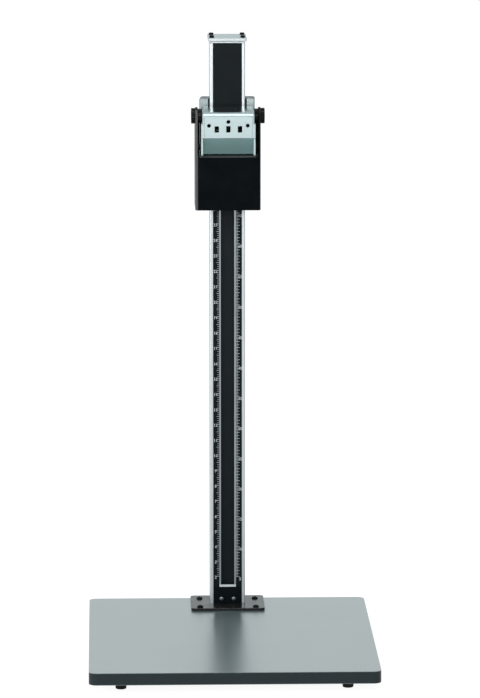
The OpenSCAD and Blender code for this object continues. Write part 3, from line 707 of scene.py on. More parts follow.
@dataclass(frozen=True)
class RubbedCoat(Coat):
    """A black coat with painted highlights on the front's two upright corners and along its top edge.

    Attributes:
        front: what is in front of this Y can take the painted highlights.
        half: from the middle to the side's face.
        ledge: the height of the front's top edge, which takes a painted highlight too.
        strip: how wide a corner's painted highlight is.
        right: how bright the right corner's painted highlight is, as a share of the left one.
    """

    front: float = 0.0
    half: float = 0.0
    ledge: float = 0.0
    strip: float = 4.6 * MM
    right: float = 0.6

    def surface(self, graph: Graph) -> dict:
        """The coat, with painted highlights near the sides and along the top edge at the front.

        Args:
            graph: the material's graph.

        Returns:
            The values and links for the shader's inputs, by name.
        """
        sockets = super().surface(graph)
        x, y, z = graph.axes(graph.place())
        # Painted highlights: the corners as lit from the left, more on the left than on the right, and the
        # top edge.
        left = graph.ramp(x, 1.0, 0.0, 0.75 * self.strip - self.half, self.strip - self.half)
        right = graph.ramp(x, 0.0, self.right, self.half - 0.5 * self.strip, self.half)
        inner = graph.maths("LESS_THAN", graph.maths("ABSOLUTE", x), self.half - 1.5 * self.strip)
        off = graph.maths("ABSOLUTE", graph.maths("SUBTRACT", z, self.ledge))
        edge = graph.times(graph.maths("LESS_THAN", off, 0.2 * self.strip), inner)
        highlight_spots = graph.maths("MAXIMUM", graph.maths("MAXIMUM", left, right), edge)
        rubbed = graph.times(graph.maths("LESS_THAN", y, self.front), highlight_spots)
        sockets["Base Color"] = graph.blend(rubbed, sockets["Base Color"], PAINTED_HIGHLIGHT_GREY)
        return sockets


@dataclass(frozen=True)
class Laminate(WornFinish):
    """The board's dark satin laminate, with a fine pebble and faint handling marks.

    Attributes:
        pebble: how fine the pebble is.
        fleck: how much the pebble's tops lighten the colour.
        depth: how strong the pebble is in the bump.
        cloud: how fine the slow changes of colour are.
        dusty: how much dust lies on what faces up.
        haze: how much of the dust the colour shows.
        dulled: how much rougher the dust makes the laminate.
    """

    shades: tuple[float, float] = (0.92, 1.08)
    patch: float = 7.0
    breakup: float = 90.0
    edge: float = 0.3
    pale: float = 1.7
    pebble: float = 900.0
    fleck: float = 0.1
    depth: float = 0.004
    cloud: float = 16.0
    dusty: float = 0.006
    haze: float = 0.4
    dulled: float = 0.12

    def surface(self, graph: Graph) -> dict:
        """A fine pebble bends the light, and slow patches change colour and gloss a little.

        Args:
            graph: the material's graph.

        Returns:
            The values and links for the shader's inputs, by name.
        """
        fine = graph.effect("grain", scale=self.pebble)
        film = graph.effect("dust", amount=self.dusty, scale=22.0)
        colour = self.shaded(graph, graph.effect("grain", scale=self.cloud))
        colour = graph.blend(graph.times(fine, self.fleck), colour, self.shade(1.3))
        colour = self.rubbed(graph, self.worn(graph), colour)
        return {
            "Base Color": graph.blend(graph.times(film, self.haze), colour, DUST),
            "Roughness": graph.maths("ADD", self.rough(graph), graph.times(film, self.dulled), clamp=True),
            "Normal": graph.bump(fine, self.depth, 0.03 * MM),
        }


@dataclass(frozen=True)
class Moulding(WornFinish):
    """Moulded rubber, nylon or plastic with a fine matt texture.

    Attributes:
        texture: how fine the texture is.
        depth: how strong the texture is in the bump.
        burnish: how much smoother a worn edge is.
        dusty: how much dust lies on what faces up.
    """

    shades: tuple[float, float] = (0.88, 1.12)
    patch: float = 25.0
    reach: float = 0.7 * MM
    pale: float = 1.9
    texture: float = 1100.0
    depth: float = 0.2
    burnish: float = 0.1
    dusty: float = 0.04

    def surface(self, graph: Graph) -> dict:
        """The texture bends the light, edges rub smoother and paler, dust settles on top.

        Args:
            graph: the material's graph.

        Returns:
            The values and links for the shader's inputs, by name.
        """
        fine = graph.effect("grain", scale=self.texture)
        film = graph.effect("dust", amount=self.dusty, scale=40.0)
        worn = self.worn(graph)
        smoother = graph.times(worn, self.burnish)
        return {
            "Base Color": graph.blend(film, self.rubbed(graph, worn, self.shaded(graph, fine)), DUST),
            "Roughness": graph.maths("SUBTRACT", self.rough(graph), smoother, clamp=True),
            "Normal": graph.bump(fine, self.depth, 0.05 * MM),
        }


@dataclass(frozen=True)
class Ink(Finish):
    """Printed ink of the scales, a little uneven in its cover.

    Attributes:
        cover: how fine the thin places are.
    """

    shades: tuple[float, float] = (0.75, 1.05)
    patch: float = 200.0
    cover: float = 2600.0

    def surface(self, graph: Graph) -> dict:
        """Fine noise thins the ink in places."""
        thin = graph.effect("grain", scale=self.cover)
        return {"Base Color": self.shaded(graph, thin), "Roughness": self.rough(graph)}


@dataclass(frozen=True)
class Chipboard(Finish):
    """The board's pressed wood core.

    Attributes:
        chip: how fine the chips are.
    """

    shades: tuple[float, float] = (0.7, 1.2)
    patch: float = 60.0
    chip: float = 380.0

    def surface(self, graph: Graph) -> dict:
        """Chips of lighter and darker wood, from cells a few millimetres wide.

        Args:
            graph: the material's graph.

        Returns:
            The values and links for the shader's inputs, by name.
        """
        sockets = {"Vector": graph.place(), "Scale": self.chip, "Randomness": 1.0}
        cells = graph.add("ShaderNodeTexVoronoi", sockets).outputs["Color"]
        chips = graph.add("ShaderNodeSeparateColor", {0: cells}).outputs[0]
        return {
            "Base Color": self.shaded(graph, chips),
            "Roughness": self.rough(graph),
            "Normal": graph.bump(chips, 0.3, 0.2 * MM),
        }


LAMINATE = Laminate("slate_laminate", "4f5f62", 0.28, 0.3, ior=1.55, coat=1.0)
EDGE_BAND = Laminate("slate_edge_band", "19262a", 0.32, 0.38, gloss=0.3)
CORE = Chipboard("pressed_core", "b59a74", 0.7, 0.9)
RUBBER = Moulding("foot_rubber", "1a1a1b", 0.6, 0.75, gloss=0.25)
# Dark rubber of the strip that stands in for the shade in the gap under the camera head.
SHADE_STRIP_RUBBER = Moulding("shade_strip_rubber", "1a2526", 0.6, 0.75, gloss=0.2)
BLACK_COAT = Coat("satin_black_coat", "01060a", 0.2, 0.265, gloss=0.045, grain_depth=0.08, edge=0.1)
FLANGE_COAT = Coat("flange_coat", "060a0b", 0.17, 0.24, gloss=0.29, grain_depth=0.05)
BLACK_OXIDE = Coat("black_oxide", "050606", 0.3, 0.42, gloss=0.06, grain_depth=0.05, edge=0.12)
PANEL = Coat("scale_panel", "081014", 0.35, 0.45, gloss=0.09, grain_depth=0.08, edge=0.05)
LOWER_PANEL = Coat("lower_panel", "030a0d", 0.35, 0.45, gloss=0.06, grain_depth=0.08, edge=0.05)
TROUGH = Coat("channel_trough", "09141a", 0.4, 0.5, gloss=0.17, grain_depth=0.08, edge=0.05)
PLASTIC = Moulding("black_plastic", "090b0c", 0.36, 0.46, gloss=0.1)
GREY_PLASTIC = Moulding("grey_plastic", "757c7e", 0.34, 0.42, gloss=0.3, depth=0.1)
KNOB_PLASTIC = Moulding("knob_plastic", "020304", 0.05, 0.08, gloss=0.08, depth=0.0)
NYLON = Moulding("nylon", "dcdad2", 0.35, 0.5, depth=0.08)
ANODISED = Metal("anodised_column", "c7cccf", 0.38, 0.46)
ANODISED_PLAIN = Metal("anodised_plain", "b3babc", 0.4, 0.5, marks=Grain.EVEN, depth=0.04, scale=60.0)
ANODISED_BODY = Metal("anodised_body_painted_shade", "9ea7a8", 0.44, 0.54, gloss=0.1, depth=0.04)
POLISHED = Metal("polished_line", "99a2a7", 0.3, 0.38)
HEAD_METAL = Metal("head_metal", "abb9ba", 0.42, 0.46, marks=Grain.ALONG_X, depth=0.02)
HEAD_LINE = Metal("head_line", "849193", 0.3, 0.36, marks=Grain.ALONG_X, depth=0.02)
DULL_STEEL = Metal("dull_steel", "757c80", 0.34, 0.42)
STEEL = Metal("bright_steel", "b4b7ba", 0.285, 0.38, marks=Grain.ALONG_X, depth=0.05)
# A dark steel for the spring tape.
DARK_TAPE_STEEL = Metal("dark_tape_steel", "26292d", 0.3, 0.42, depth=0.05)
INK = Ink("scale_ink", "c0c6c9", 0.45, 0.6, gloss=0.2)
WHITE_PAINT = Ink("stop_paint", "dde4e6", 0.4, 0.5)


def finer(kind: type[Finish], plain: Finish, **more: object) -> Finish:
    """A finish of a finer kind that has all the values of a plain one, but for those given."""
    return kind(**vars(plain) | more)


# Pieces


@dataclass(frozen=True)
class Seat:
    """Where a piece belongs.

    Attributes:
        body: the body that it rides on.
        slot: its material slot; not used.
        node: the node that it stands for, or nothing.
    """

    body: str
    slot: str
    node: str = ""


def settle(piece: bpy.types.Object, seat: Seat, finish: Finish) -> None:
    """Gives a piece its finish and its body, hides the node that it stands for, and reports it.

    Args:
        piece: the piece, with its place in its mesh.
        seat: where it belongs.
        finish: what it is finished in.
    """
    piece.data.materials.clear()
    piece.data.materials.append(finish.material())
    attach(piece, seat.body)
    if seat.node:
        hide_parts(seat.node)
    LOG.info("%s rides on %s, finished in %s", piece.name, seat.body, finish.name)


def middle(node: str) -> Vector:
    """The middle of a node's box."""
    return sum(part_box(node), Vector()) / 2


def corners(node: str, inset: float, z: float) -> list[Vector]:
    """The four places at a height z that are inset from the sides of a node's box."""
    low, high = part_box(node)
    return [Vector((x, y, z)) for x in (low.x + inset, high.x - inset)
            for y in (low.y + inset, high.y - inset)]


def in_scene(name: str, data: bpy.types.ID) -> bpy.types.Object:
    """Puts data into the scene as an object at the origin.

    Args:
        name: the object's name.
        data: its mesh, curve, lamp or camera.

    Returns:
        The object.
    """
    made = bpy.data.objects.new(name, data)
    bpy.context.scene.collection.objects.link(made)
    return made


def mesh_object(name: str, shell: Shell, sharp: float = 38.0) -> bpy.types.Object:
    """Puts a shell into a mesh object at the origin.

    Args:
        name: the piece's name.
        shell: its points and faces.
        sharp: the angle in degrees above which an edge stays sharp.

    Returns:
        The object.
    """
    mesh = bpy.data.meshes.new(name)
    mesh.from_pydata(shell.points.tolist(), [], [f for faces in shell.faces for f in faces.tolist()])
    mesh.shade_smooth()
    mesh.set_sharp_from_angle(angle=math.radians(sharp))
    made = in_scene(name, mesh)
    made.modifiers.new("even_normals", "WEIGHTED_NORMAL").keep_sharp = True
    return made


def softened(name: str, node: str, width: float, steps: int) -> bpy.types.Object:
    """A copy of a node with its edges rounded.

    The node's loose triangles are merged and its flat faces joined, and a bevel rounds every
    edge that turns by more than a set angle.

    Args:
        name: the piece's name.
        node: the node that is copied.
        width: the bevel's width.
        steps: how many faces the bevel has.

    Returns:
        The object.
    """
    merge, flat, turned = 0.002 * MM, math.radians(0.5), math.radians(32)
    shape = bmesh.new()
    shape.from_mesh(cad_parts[node].data)
    bmesh.ops.remove_doubles(shape, verts=shape.verts, dist=merge)
    bmesh.ops.dissolve_limit(shape, angle_limit=flat, verts=shape.verts, edges=shape.edges)
    mesh = bpy.data.meshes.new(name)
    shape.to_mesh(mesh)
    shape.free()
    if "custom_normal" in mesh.attributes:
        mesh.attributes.remove(mesh.attributes["custom_normal"])
    mesh.shade_smooth()
    made = in_scene(name, mesh)
    bevel = made.modifiers.new("rounded_edges", "BEVEL")
    bevel.width, bevel.segments = width, steps
    bevel.limit_method, bevel.angle_limit = "ANGLE", turned
    bevel.use_clamp_overlap = False
    bevel.harden_normals = True
    made.modifiers.new("even_normals", "WEIGHTED_NORMAL").keep_sharp = True
    return made


def lay(name: str, shell: Shell, seat: Seat, finish: Finish, sharp: float = 38.0) -> None:
    """Makes a piece from a shell and settles it. See mesh_object and settle for what is given."""
    settle(mesh_object(name, shell, sharp), seat, finish)


def skin(name: str, seat: Seat, width: float, finish: Finish, steps: int = 2) -> None:
    """Settles a softened copy of the seat's node in its place. See softened for what is given."""
    settle(softened(name, seat.node, width, steps), seat, finish)


def dress(finish: Finish, *nodes: str) -> None:
    """Gives nodes that keep their own meshes a finish, on their objects' slots.

    Args:
        finish: what they are finished in.
        nodes: the nodes.
    """
    for node in nodes:
        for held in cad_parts[node].material_slots:
            held.link = "OBJECT"
            held.material = finish.material()
        LOG.info("%s keeps its mesh, finished in %s", node, finish.name)


@dataclass(frozen=True)
class Screw:
    """A socket screw.

    Attributes:
        head: the head's diameter.
        height: the head's height.
        shank: the shank's diameter.
        key: the socket's width over its flats.
        domed: True for a button head, False for a cylindrical head.
    """

    head: float
    height: float
    shank: float
    key: float
    domed: bool = True

    def shell(self, length: float) -> Shell:
        """Rings of the shank, the head and the hexagon socket, with the seat at z = 0.

        The head's rim is a quarter ellipse on a dome, or a cylinder with a small chamfer. The
        socket's rings have the radius of a hexagon, a / cos(t), where t is the angle from the
        middle of the nearest side.

        Args:
            length: the shank's length below the seat.

        Returns:
            The screw.
        """
        sides, point, arris, lead = 48, 0.3 * MM, 0.1 * MM, 0.15 * MM
        r, s, height = self.head / 2, self.shank / 2, self.height
        profile = [(s - point, -length), (s, point - length), (s, 0), (r - arris, 0), (r, arris)]
        if self.domed:
            t = np.radians(np.linspace(0, 62, 7))
            profile += zip(r * np.cos(t), height * (0.3 + 0.7 * np.sin(t) / math.sin(t[-1])))
        else:
            chamfer = 0.12 * height
            profile += [(r, height - chamfer), (r - chamfer, height), (0.72 * r, height)]
        a = np.linspace(0, 2 * np.pi, sides, endpoint=False)
        hexagon = self.key / 2 / np.cos((a + np.pi / 6) % (np.pi / 3) - np.pi / 6)
        levels = np.array([height, height - lead, height * 0.45])[:, None]
        spread = np.array([1.08, 1.0, 1.0])[:, None] * hexagon
        socket = np.stack([spread * np.cos(a), spread * np.sin(a), levels + 0 * a], -1)
        return loft(np.concatenate([turned_rings(profile, sides), socket]))

    def stand_up(self, name: str, node: str) -> None:
        """Lays four black screws that stand in the corners of a node's box.

        Args:
            name: the piece's name.
            node: the node that it stands for.
        """
        low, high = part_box(node)
        seat_z = high.z - self.height
        screw = self.shell(seat_z - low.z)
        screws = joined([screw.placed(place) for place in corners(node, self.head / 2, seat_z)])
        lay(name, screws, Seat("stand", "black_metal", node), BLACK_OXIDE)

    def face_front(self, name: str, seat: Seat, finish: Finish, turn: float = 0.0) -> None:
        """Lays two screws that face forwards, at both ends of the box of the seat's node.

        Args:
            name: the piece's name.
            seat: where it belongs.
            finish: what it is finished in.
            turn: how far the sockets are turned.
        """
        low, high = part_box(seat.node)
        r, y, z = self.head / 2, low.y + self.height, middle(seat.node).z
        screw = self.shell(high.y - y)
        places = [Vector((x, y, z)) for x in (low.x + r, high.x - r)]
        lay(name, joined([screw.placed(place, FORWARD, turn) for place in places]), seat, finish)


# Sub-assemblies


@dataclass
class Baseboard:
    """The laminated board and its rubber feet.

    Attributes:
        corner: the radius of the board's corners.
        arris: the radius of the laminate's top edge.
        band: how thick the edge band is.
        foot: the top diameter of a foot.
        recess: the radius of the screw recess in a foot.
        recess_deep: how deep the recess is.
    """

    corner: float = 12 * MM
    arris: float = 0.25 * MM
    band: float = 1.2 * MM
    foot: float = 19 * MM
    recess: float = 4.75 * MM
    recess_deep: float = 9 * MM

    def build(self) -> None:
        """Builds the sheets, the edge band and the feet."""
        self.sheet("top_laminate", True)
        self.sheet("bottom_laminate", False)
        self.edge_band()
        self.feet()
        dress(CORE, "baseboard")
        dress(STEEL, "foot_screws")

    def round_board(self, node: str, profile: Profile, closed: bool = False) -> Shell:
        """A profile carried round the board's outline, on the bottom of a node's box.

        Args:
            node: the node whose box gives the outline.
            profile: inset and height of each ring.
            closed: True joins the last ring to the first.

        Returns:
            The shell.
        """
        low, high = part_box(node)
        centre = middle(node)
        rings = slab_rings(high.x - low.x, high.y - low.y, self.corner, profile)
        return loft(rings, closed).placed(Vector((centre.x, centre.y, low.z)))

    def sheet(self, node: str, top: bool) -> None:
        """One laminate sheet, a profile with one rounded arris carried round the board.

        Args:
            node: the node that it stands for.
            top: True for the upper sheet, False for the lower, which is the upper one mirrored.
        """
        rim, inside = 2 * MM, 60 * MM
        low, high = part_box(node)
        thick, r = high.z - low.z, self.arris
        profile = [(rim, 0.0), (0.0, 0.0), *arc(r, thick - r, r, 180, 90, 5), (rim, thick), (inside, thick)]
        shell = self.round_board(node, profile)
        if not top:
            flip = shell.points * (1, 1, -1) + (0, 0, low.z + high.z)
            shell = Shell(flip, tuple(f[:, ::-1] for f in shell.faces))
        lay(node + "_sheet", shell, Seat("stand", "laminate", node), LAMINATE)

    def edge_band(self) -> None:
        """The edge band: an upright strip carried round the core, with its inner face."""
        low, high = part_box("edge_band")
        tall = high.z - low.z
        profile = [(0.0, 0.0), (0.0, tall), (self.band, tall), (self.band, 0.0)]
        shell = self.round_board("edge_band", profile, closed=True)
        lay("board_edge_band", shell, Seat("stand", "laminate", "edge_band"), EDGE_BAND)

    def feet(self) -> None:
        """Four rubber buffers: a tapered profile with a rounded foot, a groove and a screw recess."""
        low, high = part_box("rubber_feet")
        tall, r, recess = high.z - low.z, self.foot / 2, self.recess
        profile = [
            (recess, self.recess_deep), (recess, 0.4 * MM), (recess + 0.4 * MM, 0.0), (r - 2.4 * MM, 0.0),
            (r - 1.5 * MM, 0.3 * MM), (r - 1.0 * MM, 1.2 * MM), (r - 0.75 * MM, tall * 0.3),
            (r - 0.9 * MM, tall * 0.34), (r - 0.65 * MM, tall * 0.4), (r, tall - 0.8 * MM),
            (r - 0.3 * MM, tall), (0.5 * recess, tall),
        ]
        foot = loft(turned_rings(profile, 48))
        feet = joined([foot.placed(place) for place in corners("rubber_feet", r, low.z)])
        lay("rubber_buffers", feet, Seat("stand", "rubber", "rubber_feet"), RUBBER)


@dataclass
class FootFlange:
    """The black plate under the column, with its bolts and what the board hides.

    Attributes:
        bolt: one of its bolts.
    """

    bolt: Screw = Screw(head=10 * MM, height=3.2 * MM, shank=6 * MM, key=4 * MM)

    def build(self) -> None:
        """Builds the flange and its bolts, and dresses what is hidden."""
        skin("flange_plate", Seat("stand", "black_metal", "foot_flange"), 0.6 * MM, FLANGE_COAT, 3)
        self.bolt.stand_up("flange_bolt_set", "flange_bolts")
        dress(STEEL, "flange_nuts", "column_screws")
        dress(ANODISED_PLAIN, "column_block")


@dataclass
class Column:
    """The aluminium column with its panels, channel, cap and screws.

    Attributes:
        front_screw: a screw in the column's foot.
        cap_screw: a screw on the cap.
        stop: how tall the white face across the channel's foot is.
        stop_edge: the chamfer of that face.
        stop_proud: how far it stands out.
    """

    front_screw: Screw = Screw(head=6.8 * MM, height=2 * MM, shank=3.6 * MM, key=2.5 * MM)
    cap_screw: Screw = Screw(head=7.6 * MM, height=3.2 * MM, shank=3.3 * MM, key=3.6 * MM, domed=False)
    stop: float = 3.5 * MM
    stop_edge: float = 0.25 * MM
    stop_proud: float = 0.2 * MM

    def build(self) -> None:
        """Builds the column's skin, its panels, its channel and its top."""
        for name, node, width, slot, finish in (
            ("column_profile", "column", 0.35 * MM, "anodised", ANODISED),
            ("lower_front_panel", "lower_panel", 0.15 * MM, "panel_black", LOWER_PANEL),
            ("upper_front_panel", "upper_panel", 0.15 * MM, "panel_black", PANEL),
            ("inch_strip", "scale_left", 0.15 * MM, "panel_black", PANEL),
            ("centimetre_strip", "scale_right", 0.15 * MM, "panel_black", PANEL),
            ("channel_line", "channel_frame", 0.12 * MM, "polished", POLISHED),
            ("top_cap_plate", "top_cap", 0.7 * MM, "anodised", ANODISED_PLAIN),
        ):
            skin(name, Seat("stand", slot, node), width, finish)
        dress(TROUGH, "channel_liner")
        self.channel_stop()
        self.front_screw.face_front(
            "front_button_screws", Seat("stand", "polished", "front_screws"), DULL_STEEL, 0.3)
        self.cap_screw.stand_up("cap_socket_screws", "cap_screws")

    def channel_stop(self) -> None:
        """The white face of the bar across the channel's foot, a thin slab with a small chamfer."""
        low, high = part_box("channel_frame")
        edge, proud = self.stop_edge, self.stop_proud
        profile = [(0.0, 0.0), (0.0, 0.1 * proud), (edge, proud), (self.stop / 2, proud)]
        slab = loft(slab_rings(high.x - low.x - edge, self.stop, edge, profile))
        place = Vector((middle("channel_frame").x, low.y, low.z + self.stop / 2))
        lay("channel_stop_face", slab.placed(place, FORWARD), Seat("stand", "polished"), WHITE_PAINT, 25)


@dataclass(frozen=True)
class Ruler:
    """One printed scale, whose lines are of three kinds: a unit's, a half's and a part's.

    Attributes:
        name: how its pieces' names start.
        side: which side of the channel it is on.
        unit: the pitch of its units, as fitted to the photo.
        parts: how many lines a unit has.
        units: how many units the lines run over.
        numbers: the printed numbers.
        line: the height of the first number's line above the board.
        number: the height of the first number's middle above the board.
        middle: the X that the numbers are centred on.
        reach: how long the lines are.
        thick: how thick the lines are.
    """

    name: str
    side: Side
    unit: float
    parts: int
    units: int
    numbers: range
    line: float
    number: float
    middle: float
    reach: tuple[float, float, float]
    thick: tuple[float, float, float]


INCHES = Ruler(
    name="inch", side=Side.LEFT, unit=25.345 * MM, parts=8, units=30, numbers=range(2, 32),
    line=50.8 * MM, number=49.2 * MM, middle=-19.6 * MM,
    reach=(4.8 * MM, 4.0 * MM, 2.9 * MM), thick=(0.8 * MM, 0.65 * MM, 0.5 * MM))
CENTIMETRES = Ruler(
    name="centimetre", side=Side.RIGHT, unit=10.02 * MM, parts=10, units=76, numbers=range(5, 81, 5),
    line=50.0 * MM, number=46.0 * MM, middle=20.4 * MM,
    reach=(5.8 * MM, 5.0 * MM, 3.0 * MM), thick=(0.7 * MM, 0.55 * MM, 0.3 * MM))


@dataclass
class Scales:
    """The printed inch and centimetre scales on the two strips beside the channel.

    Attributes:
        ink: how thick the ink is.
        digit: the height of a numeral.
        width: the width of one digit.
        pitch: from one digit of a number to the next.
        gap: from the channel's bright line to the lines.
        margin: from the highest line to the strip's top.
        slim: the width of a digit, as a share of its height, from which it is full width.
    """

    ink: float = 0.04 * MM
    digit: float = 5.0 * MM
    width: float = 2.9 * MM
    pitch: float = 3.3 * MM
    gap: float = 0.3 * MM
    margin: float = 2 * MM
    slim: float = 0.62

    def build(self) -> None:
        """Prints both scales: numbers next to their long lines, and the short lines between."""
        glyphs = [self.glyph(str(i)) for i in range(10)]
        for ruler in (INCHES, CENTIMETRES):
            self.numbers(ruler, glyphs)
        for ruler in (INCHES, CENTIMETRES):
            self.lines(ruler)

    def glyph(self, text: str) -> Shell:
        """One digit as a thin solid, scaled to the digit's height and width about its middle.

        Args:
            text: the digit.

        Returns:
            The digit in X and Z, facing -Y, with its back on y = 0.
        """
        curve = bpy.data.curves.new("digit", "FONT")
        curve.body, curve.extrude, curve.resolution_u, curve.offset = text, 0.02, 3, 0.025
        holder = in_scene("digit", curve)
        bpy.context.view_layer.update()
        mesh = bpy.data.meshes.new_from_object(holder.evaluated_get(bpy.context.evaluated_depsgraph_get()))
        mesh.calc_loop_triangles()
        points = np.zeros(len(mesh.vertices) * 3)
        mesh.vertices.foreach_get("co", points)
        points = points.reshape(-1, 3)
        triangles = np.zeros(len(mesh.loop_triangles) * 3, int)
        mesh.loop_triangles.foreach_get("vertices", triangles)
        bpy.data.objects.remove(holder)
        bpy.data.curves.remove(curve)
        bpy.data.meshes.remove(mesh)
        low, high = points.min(0), points.max(0)
        wide, tall, deep = high - low
        share = min(1.0, wide / tall / self.slim)
        x = (points[:, 0] - (low[0] + high[0]) / 2) / wide * self.width * share
        z = (points[:, 1] - (low[1] + high[1]) / 2) / tall * self.digit
        y = -(points[:, 2] - low[2]) / deep * self.ink
        return Shell(np.stack([x, y, z], -1), (triangles.reshape(-1, 3),))

    def numbers(self, ruler: Ruler, glyphs: list[Shell]) -> None:
        """Prints one column of numbers.

        Args:
            ruler: the scale.
            glyphs: the ten digits.
        """
        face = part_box("scale_left")[0].y
        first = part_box("top_laminate")[1].z + ruler.number
        shells = []
        for number in ruler.numbers:
            z = first + (number - ruler.numbers[0]) * ruler.unit
            digits = [int(c) for c in str(number)]
            for i, d in enumerate(digits):
                x = ruler.middle + (i - (len(digits) - 1) / 2) * self.pitch
                shells.append(Shell(glyphs[d].points + (x, face, z), glyphs[d].faces))
        lay(ruler.name + "_numbers", joined(shells), Seat("stand", "polished"), INK)

    def lines(self, ruler: Ruler) -> None:
        """Prints one row of lines as thin boxes that start beside the channel's bright line.

        Args:
            ruler: the scale.
        """
        low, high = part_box("scale_left")
        count = np.arange(ruler.parts * ruler.units)
        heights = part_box("top_laminate")[1].z + ruler.line + count * ruler.unit / ruler.parts
        kept = heights < high.z - self.margin
        count, heights = count[kept], heights[kept]
        kinds = [count % ruler.parts == 0, count % (ruler.parts // 2) == 0]
        reach, thick = (np.select(kinds, sizes[:2], sizes[2]) for sizes in (ruler.reach, ruler.thick))
        inner = abs(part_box("channel_frame")[1].x) + self.gap + 0 * reach
        outer = inner + reach
        left, right = (inner, outer) if ruler.side is Side.RIGHT else (-outer, -inner)
        lower = np.stack([left, 0 * left + low.y - self.ink, heights - thick / 2], -1)
        upper = np.stack([right, 0 * left + low.y, heights + thick / 2], -1)
        lay(ruler.name + "_lines", boxes(lower, upper), Seat("stand", "polished"), INK)


@dataclass
class Counterbalance:
    """The spring drum in the column's top, its tape, and the bar that the tape is clamped to.

    Attributes:
        screw: a screw in the bar.
        bow: how far the tape's middle bows forwards.
        thick: how thick the tape is drawn.
        back: how far the tape's edges lie behind the front of its box.
    """

    screw: Screw = Screw(head=7 * MM, height=2 * MM, shank=4 * MM, key=2.5 * MM)
    bow: float = 0.2 * MM
    thick: float = 0.25 * MM
    back: float = 0.02 * MM

    def build(self) -> None:
        """Dresses the drum and builds the tape and the anchor."""
        dress(STEEL, "drum_bracket", "drum_axle", "spring_drum", "spring_coil", "anchor_clamp")
        self.tape()
        skin("anchor_bar", Seat("carriage", "anodised", "tape_anchor"), 0.5 * MM, ANODISED_PLAIN)
        seat = Seat("carriage", "black_metal", "anchor_screws")
        self.screw.face_front("anchor_bar_screws", seat, BLACK_OXIDE)

    def tape(self) -> None:
        """The spring tape: a section with a shallow bow, y = b (1 - (2x / w)^2), drawn down."""
        low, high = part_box("spring_tape")
        x = np.linspace(-1, 1, 9)
        front = np.stack([x * (high.x - low.x) / 2, low.y + self.back - self.bow * (1 - x * x)], -1)
        outline = np.concatenate([front, front[::-1] + (0, self.thick)])
        heights = np.linspace(low.z, high.z, 60)
        rings = np.zeros((len(heights), len(outline), 3))
        rings[:, :, :2] = outline[None]
        rings[:, :, 2] = heights[:, None]
        piece = mesh_object("spring_tape_strip", loft(rings))
        piece.data.materials.append(DARK_TAPE_STEEL.material())
        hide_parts("spring_tape")
        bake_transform(piece)
        LOG.info("%s runs from stand to carriage", piece.name)


@dataclass
class Carriage:
    """The body that runs round the column, with its rollers, glides and wiper.

    Attributes:
        painted_gap: from where the body's black painted shade ends to the housing's back edge.
        bare: how far down from the top the front is left bare of the painted shade.
        roller: the diameter of a roller.
        tread: how wide a roller's tread is.
        crown: how far the tread falls off at its sides.
        shoulder: how far the tread stands above the roller's shoulders.
        clear: how far the tread stays inside its node.
        hub: the diameter of a roller's sleeve.
        collar: from the tread to the sleeve's end.
        bore: the bore of the sleeve.
        arris: the chamfer of the sleeve's end.
    """

    painted_gap: float = 3 * MM
    bare: float = 34 * MM
    roller: float = 15 * MM
    tread: float = 4 * MM
    crown: float = 0.35 * MM
    shoulder: float = 0.9 * MM
    clear: float = 0.02 * MM
    hub: float = 9 * MM
    collar: float = 1 * MM
    bore: float = 5.2 * MM
    arris: float = 0.2 * MM

    def build(self) -> None:
        """Builds the body, the wiper, the glides and the rollers."""
        # The body takes black painted shade where it lies inside the housing.
        finish = finer(
            FrontPainted, ANODISED_BODY, front=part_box("housing_cover")[1].y - self.painted_gap,
            top=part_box("carriage_body")[1].z - self.bare)
        skin("carriage_channel", Seat("carriage", "anodised", "carriage_body"), 0.5 * MM, finish)
        skin("wiper_cover", Seat("carriage", "black_plastic", "wiper_plate"), 0.4 * MM, GREY_PLASTIC)
        skin("glide_pads", Seat("carriage", "nylon", "side_glides"), 0.3 * MM, NYLON)
        dress(STEEL, "front_axles", "rear_axles")
        for node in ("front_roller_upper", "front_roller_lower", "rear_roller_upper", "rear_roller_lower"):
            self.rollers(node)

    def rollers(self, node: str) -> None:
        """One pair of rollers with its sleeve: a profile of crowned treads turned about X.

        At x from -1 to 1 across a tread its radius is r - c x^4.

        Args:
            node: the node that the pair stands for, and the body's name.
        """
        low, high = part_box(node)
        end, r, hub, bore = (high.x - low.x) / 2, self.roller / 2, self.hub / 2, self.bore / 2
        stop = end - self.collar
        start = stop - self.tread
        x = np.linspace(-1, 1, 9)
        crowned = zip(r - self.crown * x ** 4 - self.clear, (start + stop) / 2 + x * self.tread / 2)
        side = [(hub, start), (r - self.shoulder, start), *crowned, (r - self.shoulder, stop), (hub, stop),
                (hub, end - self.arris), (hub - self.arris, end)]
        outline = [(p, -z) for p, z in reversed(side)] + side + [(bore, end), (bore, 0.0), (bore, -end)]
        pair = loft(turned_rings(outline, 48), closed=True).placed(middle(node), RIGHTWARD)
        lay(node + "_pair", pair, Seat(node, "nylon", node), NYLON)


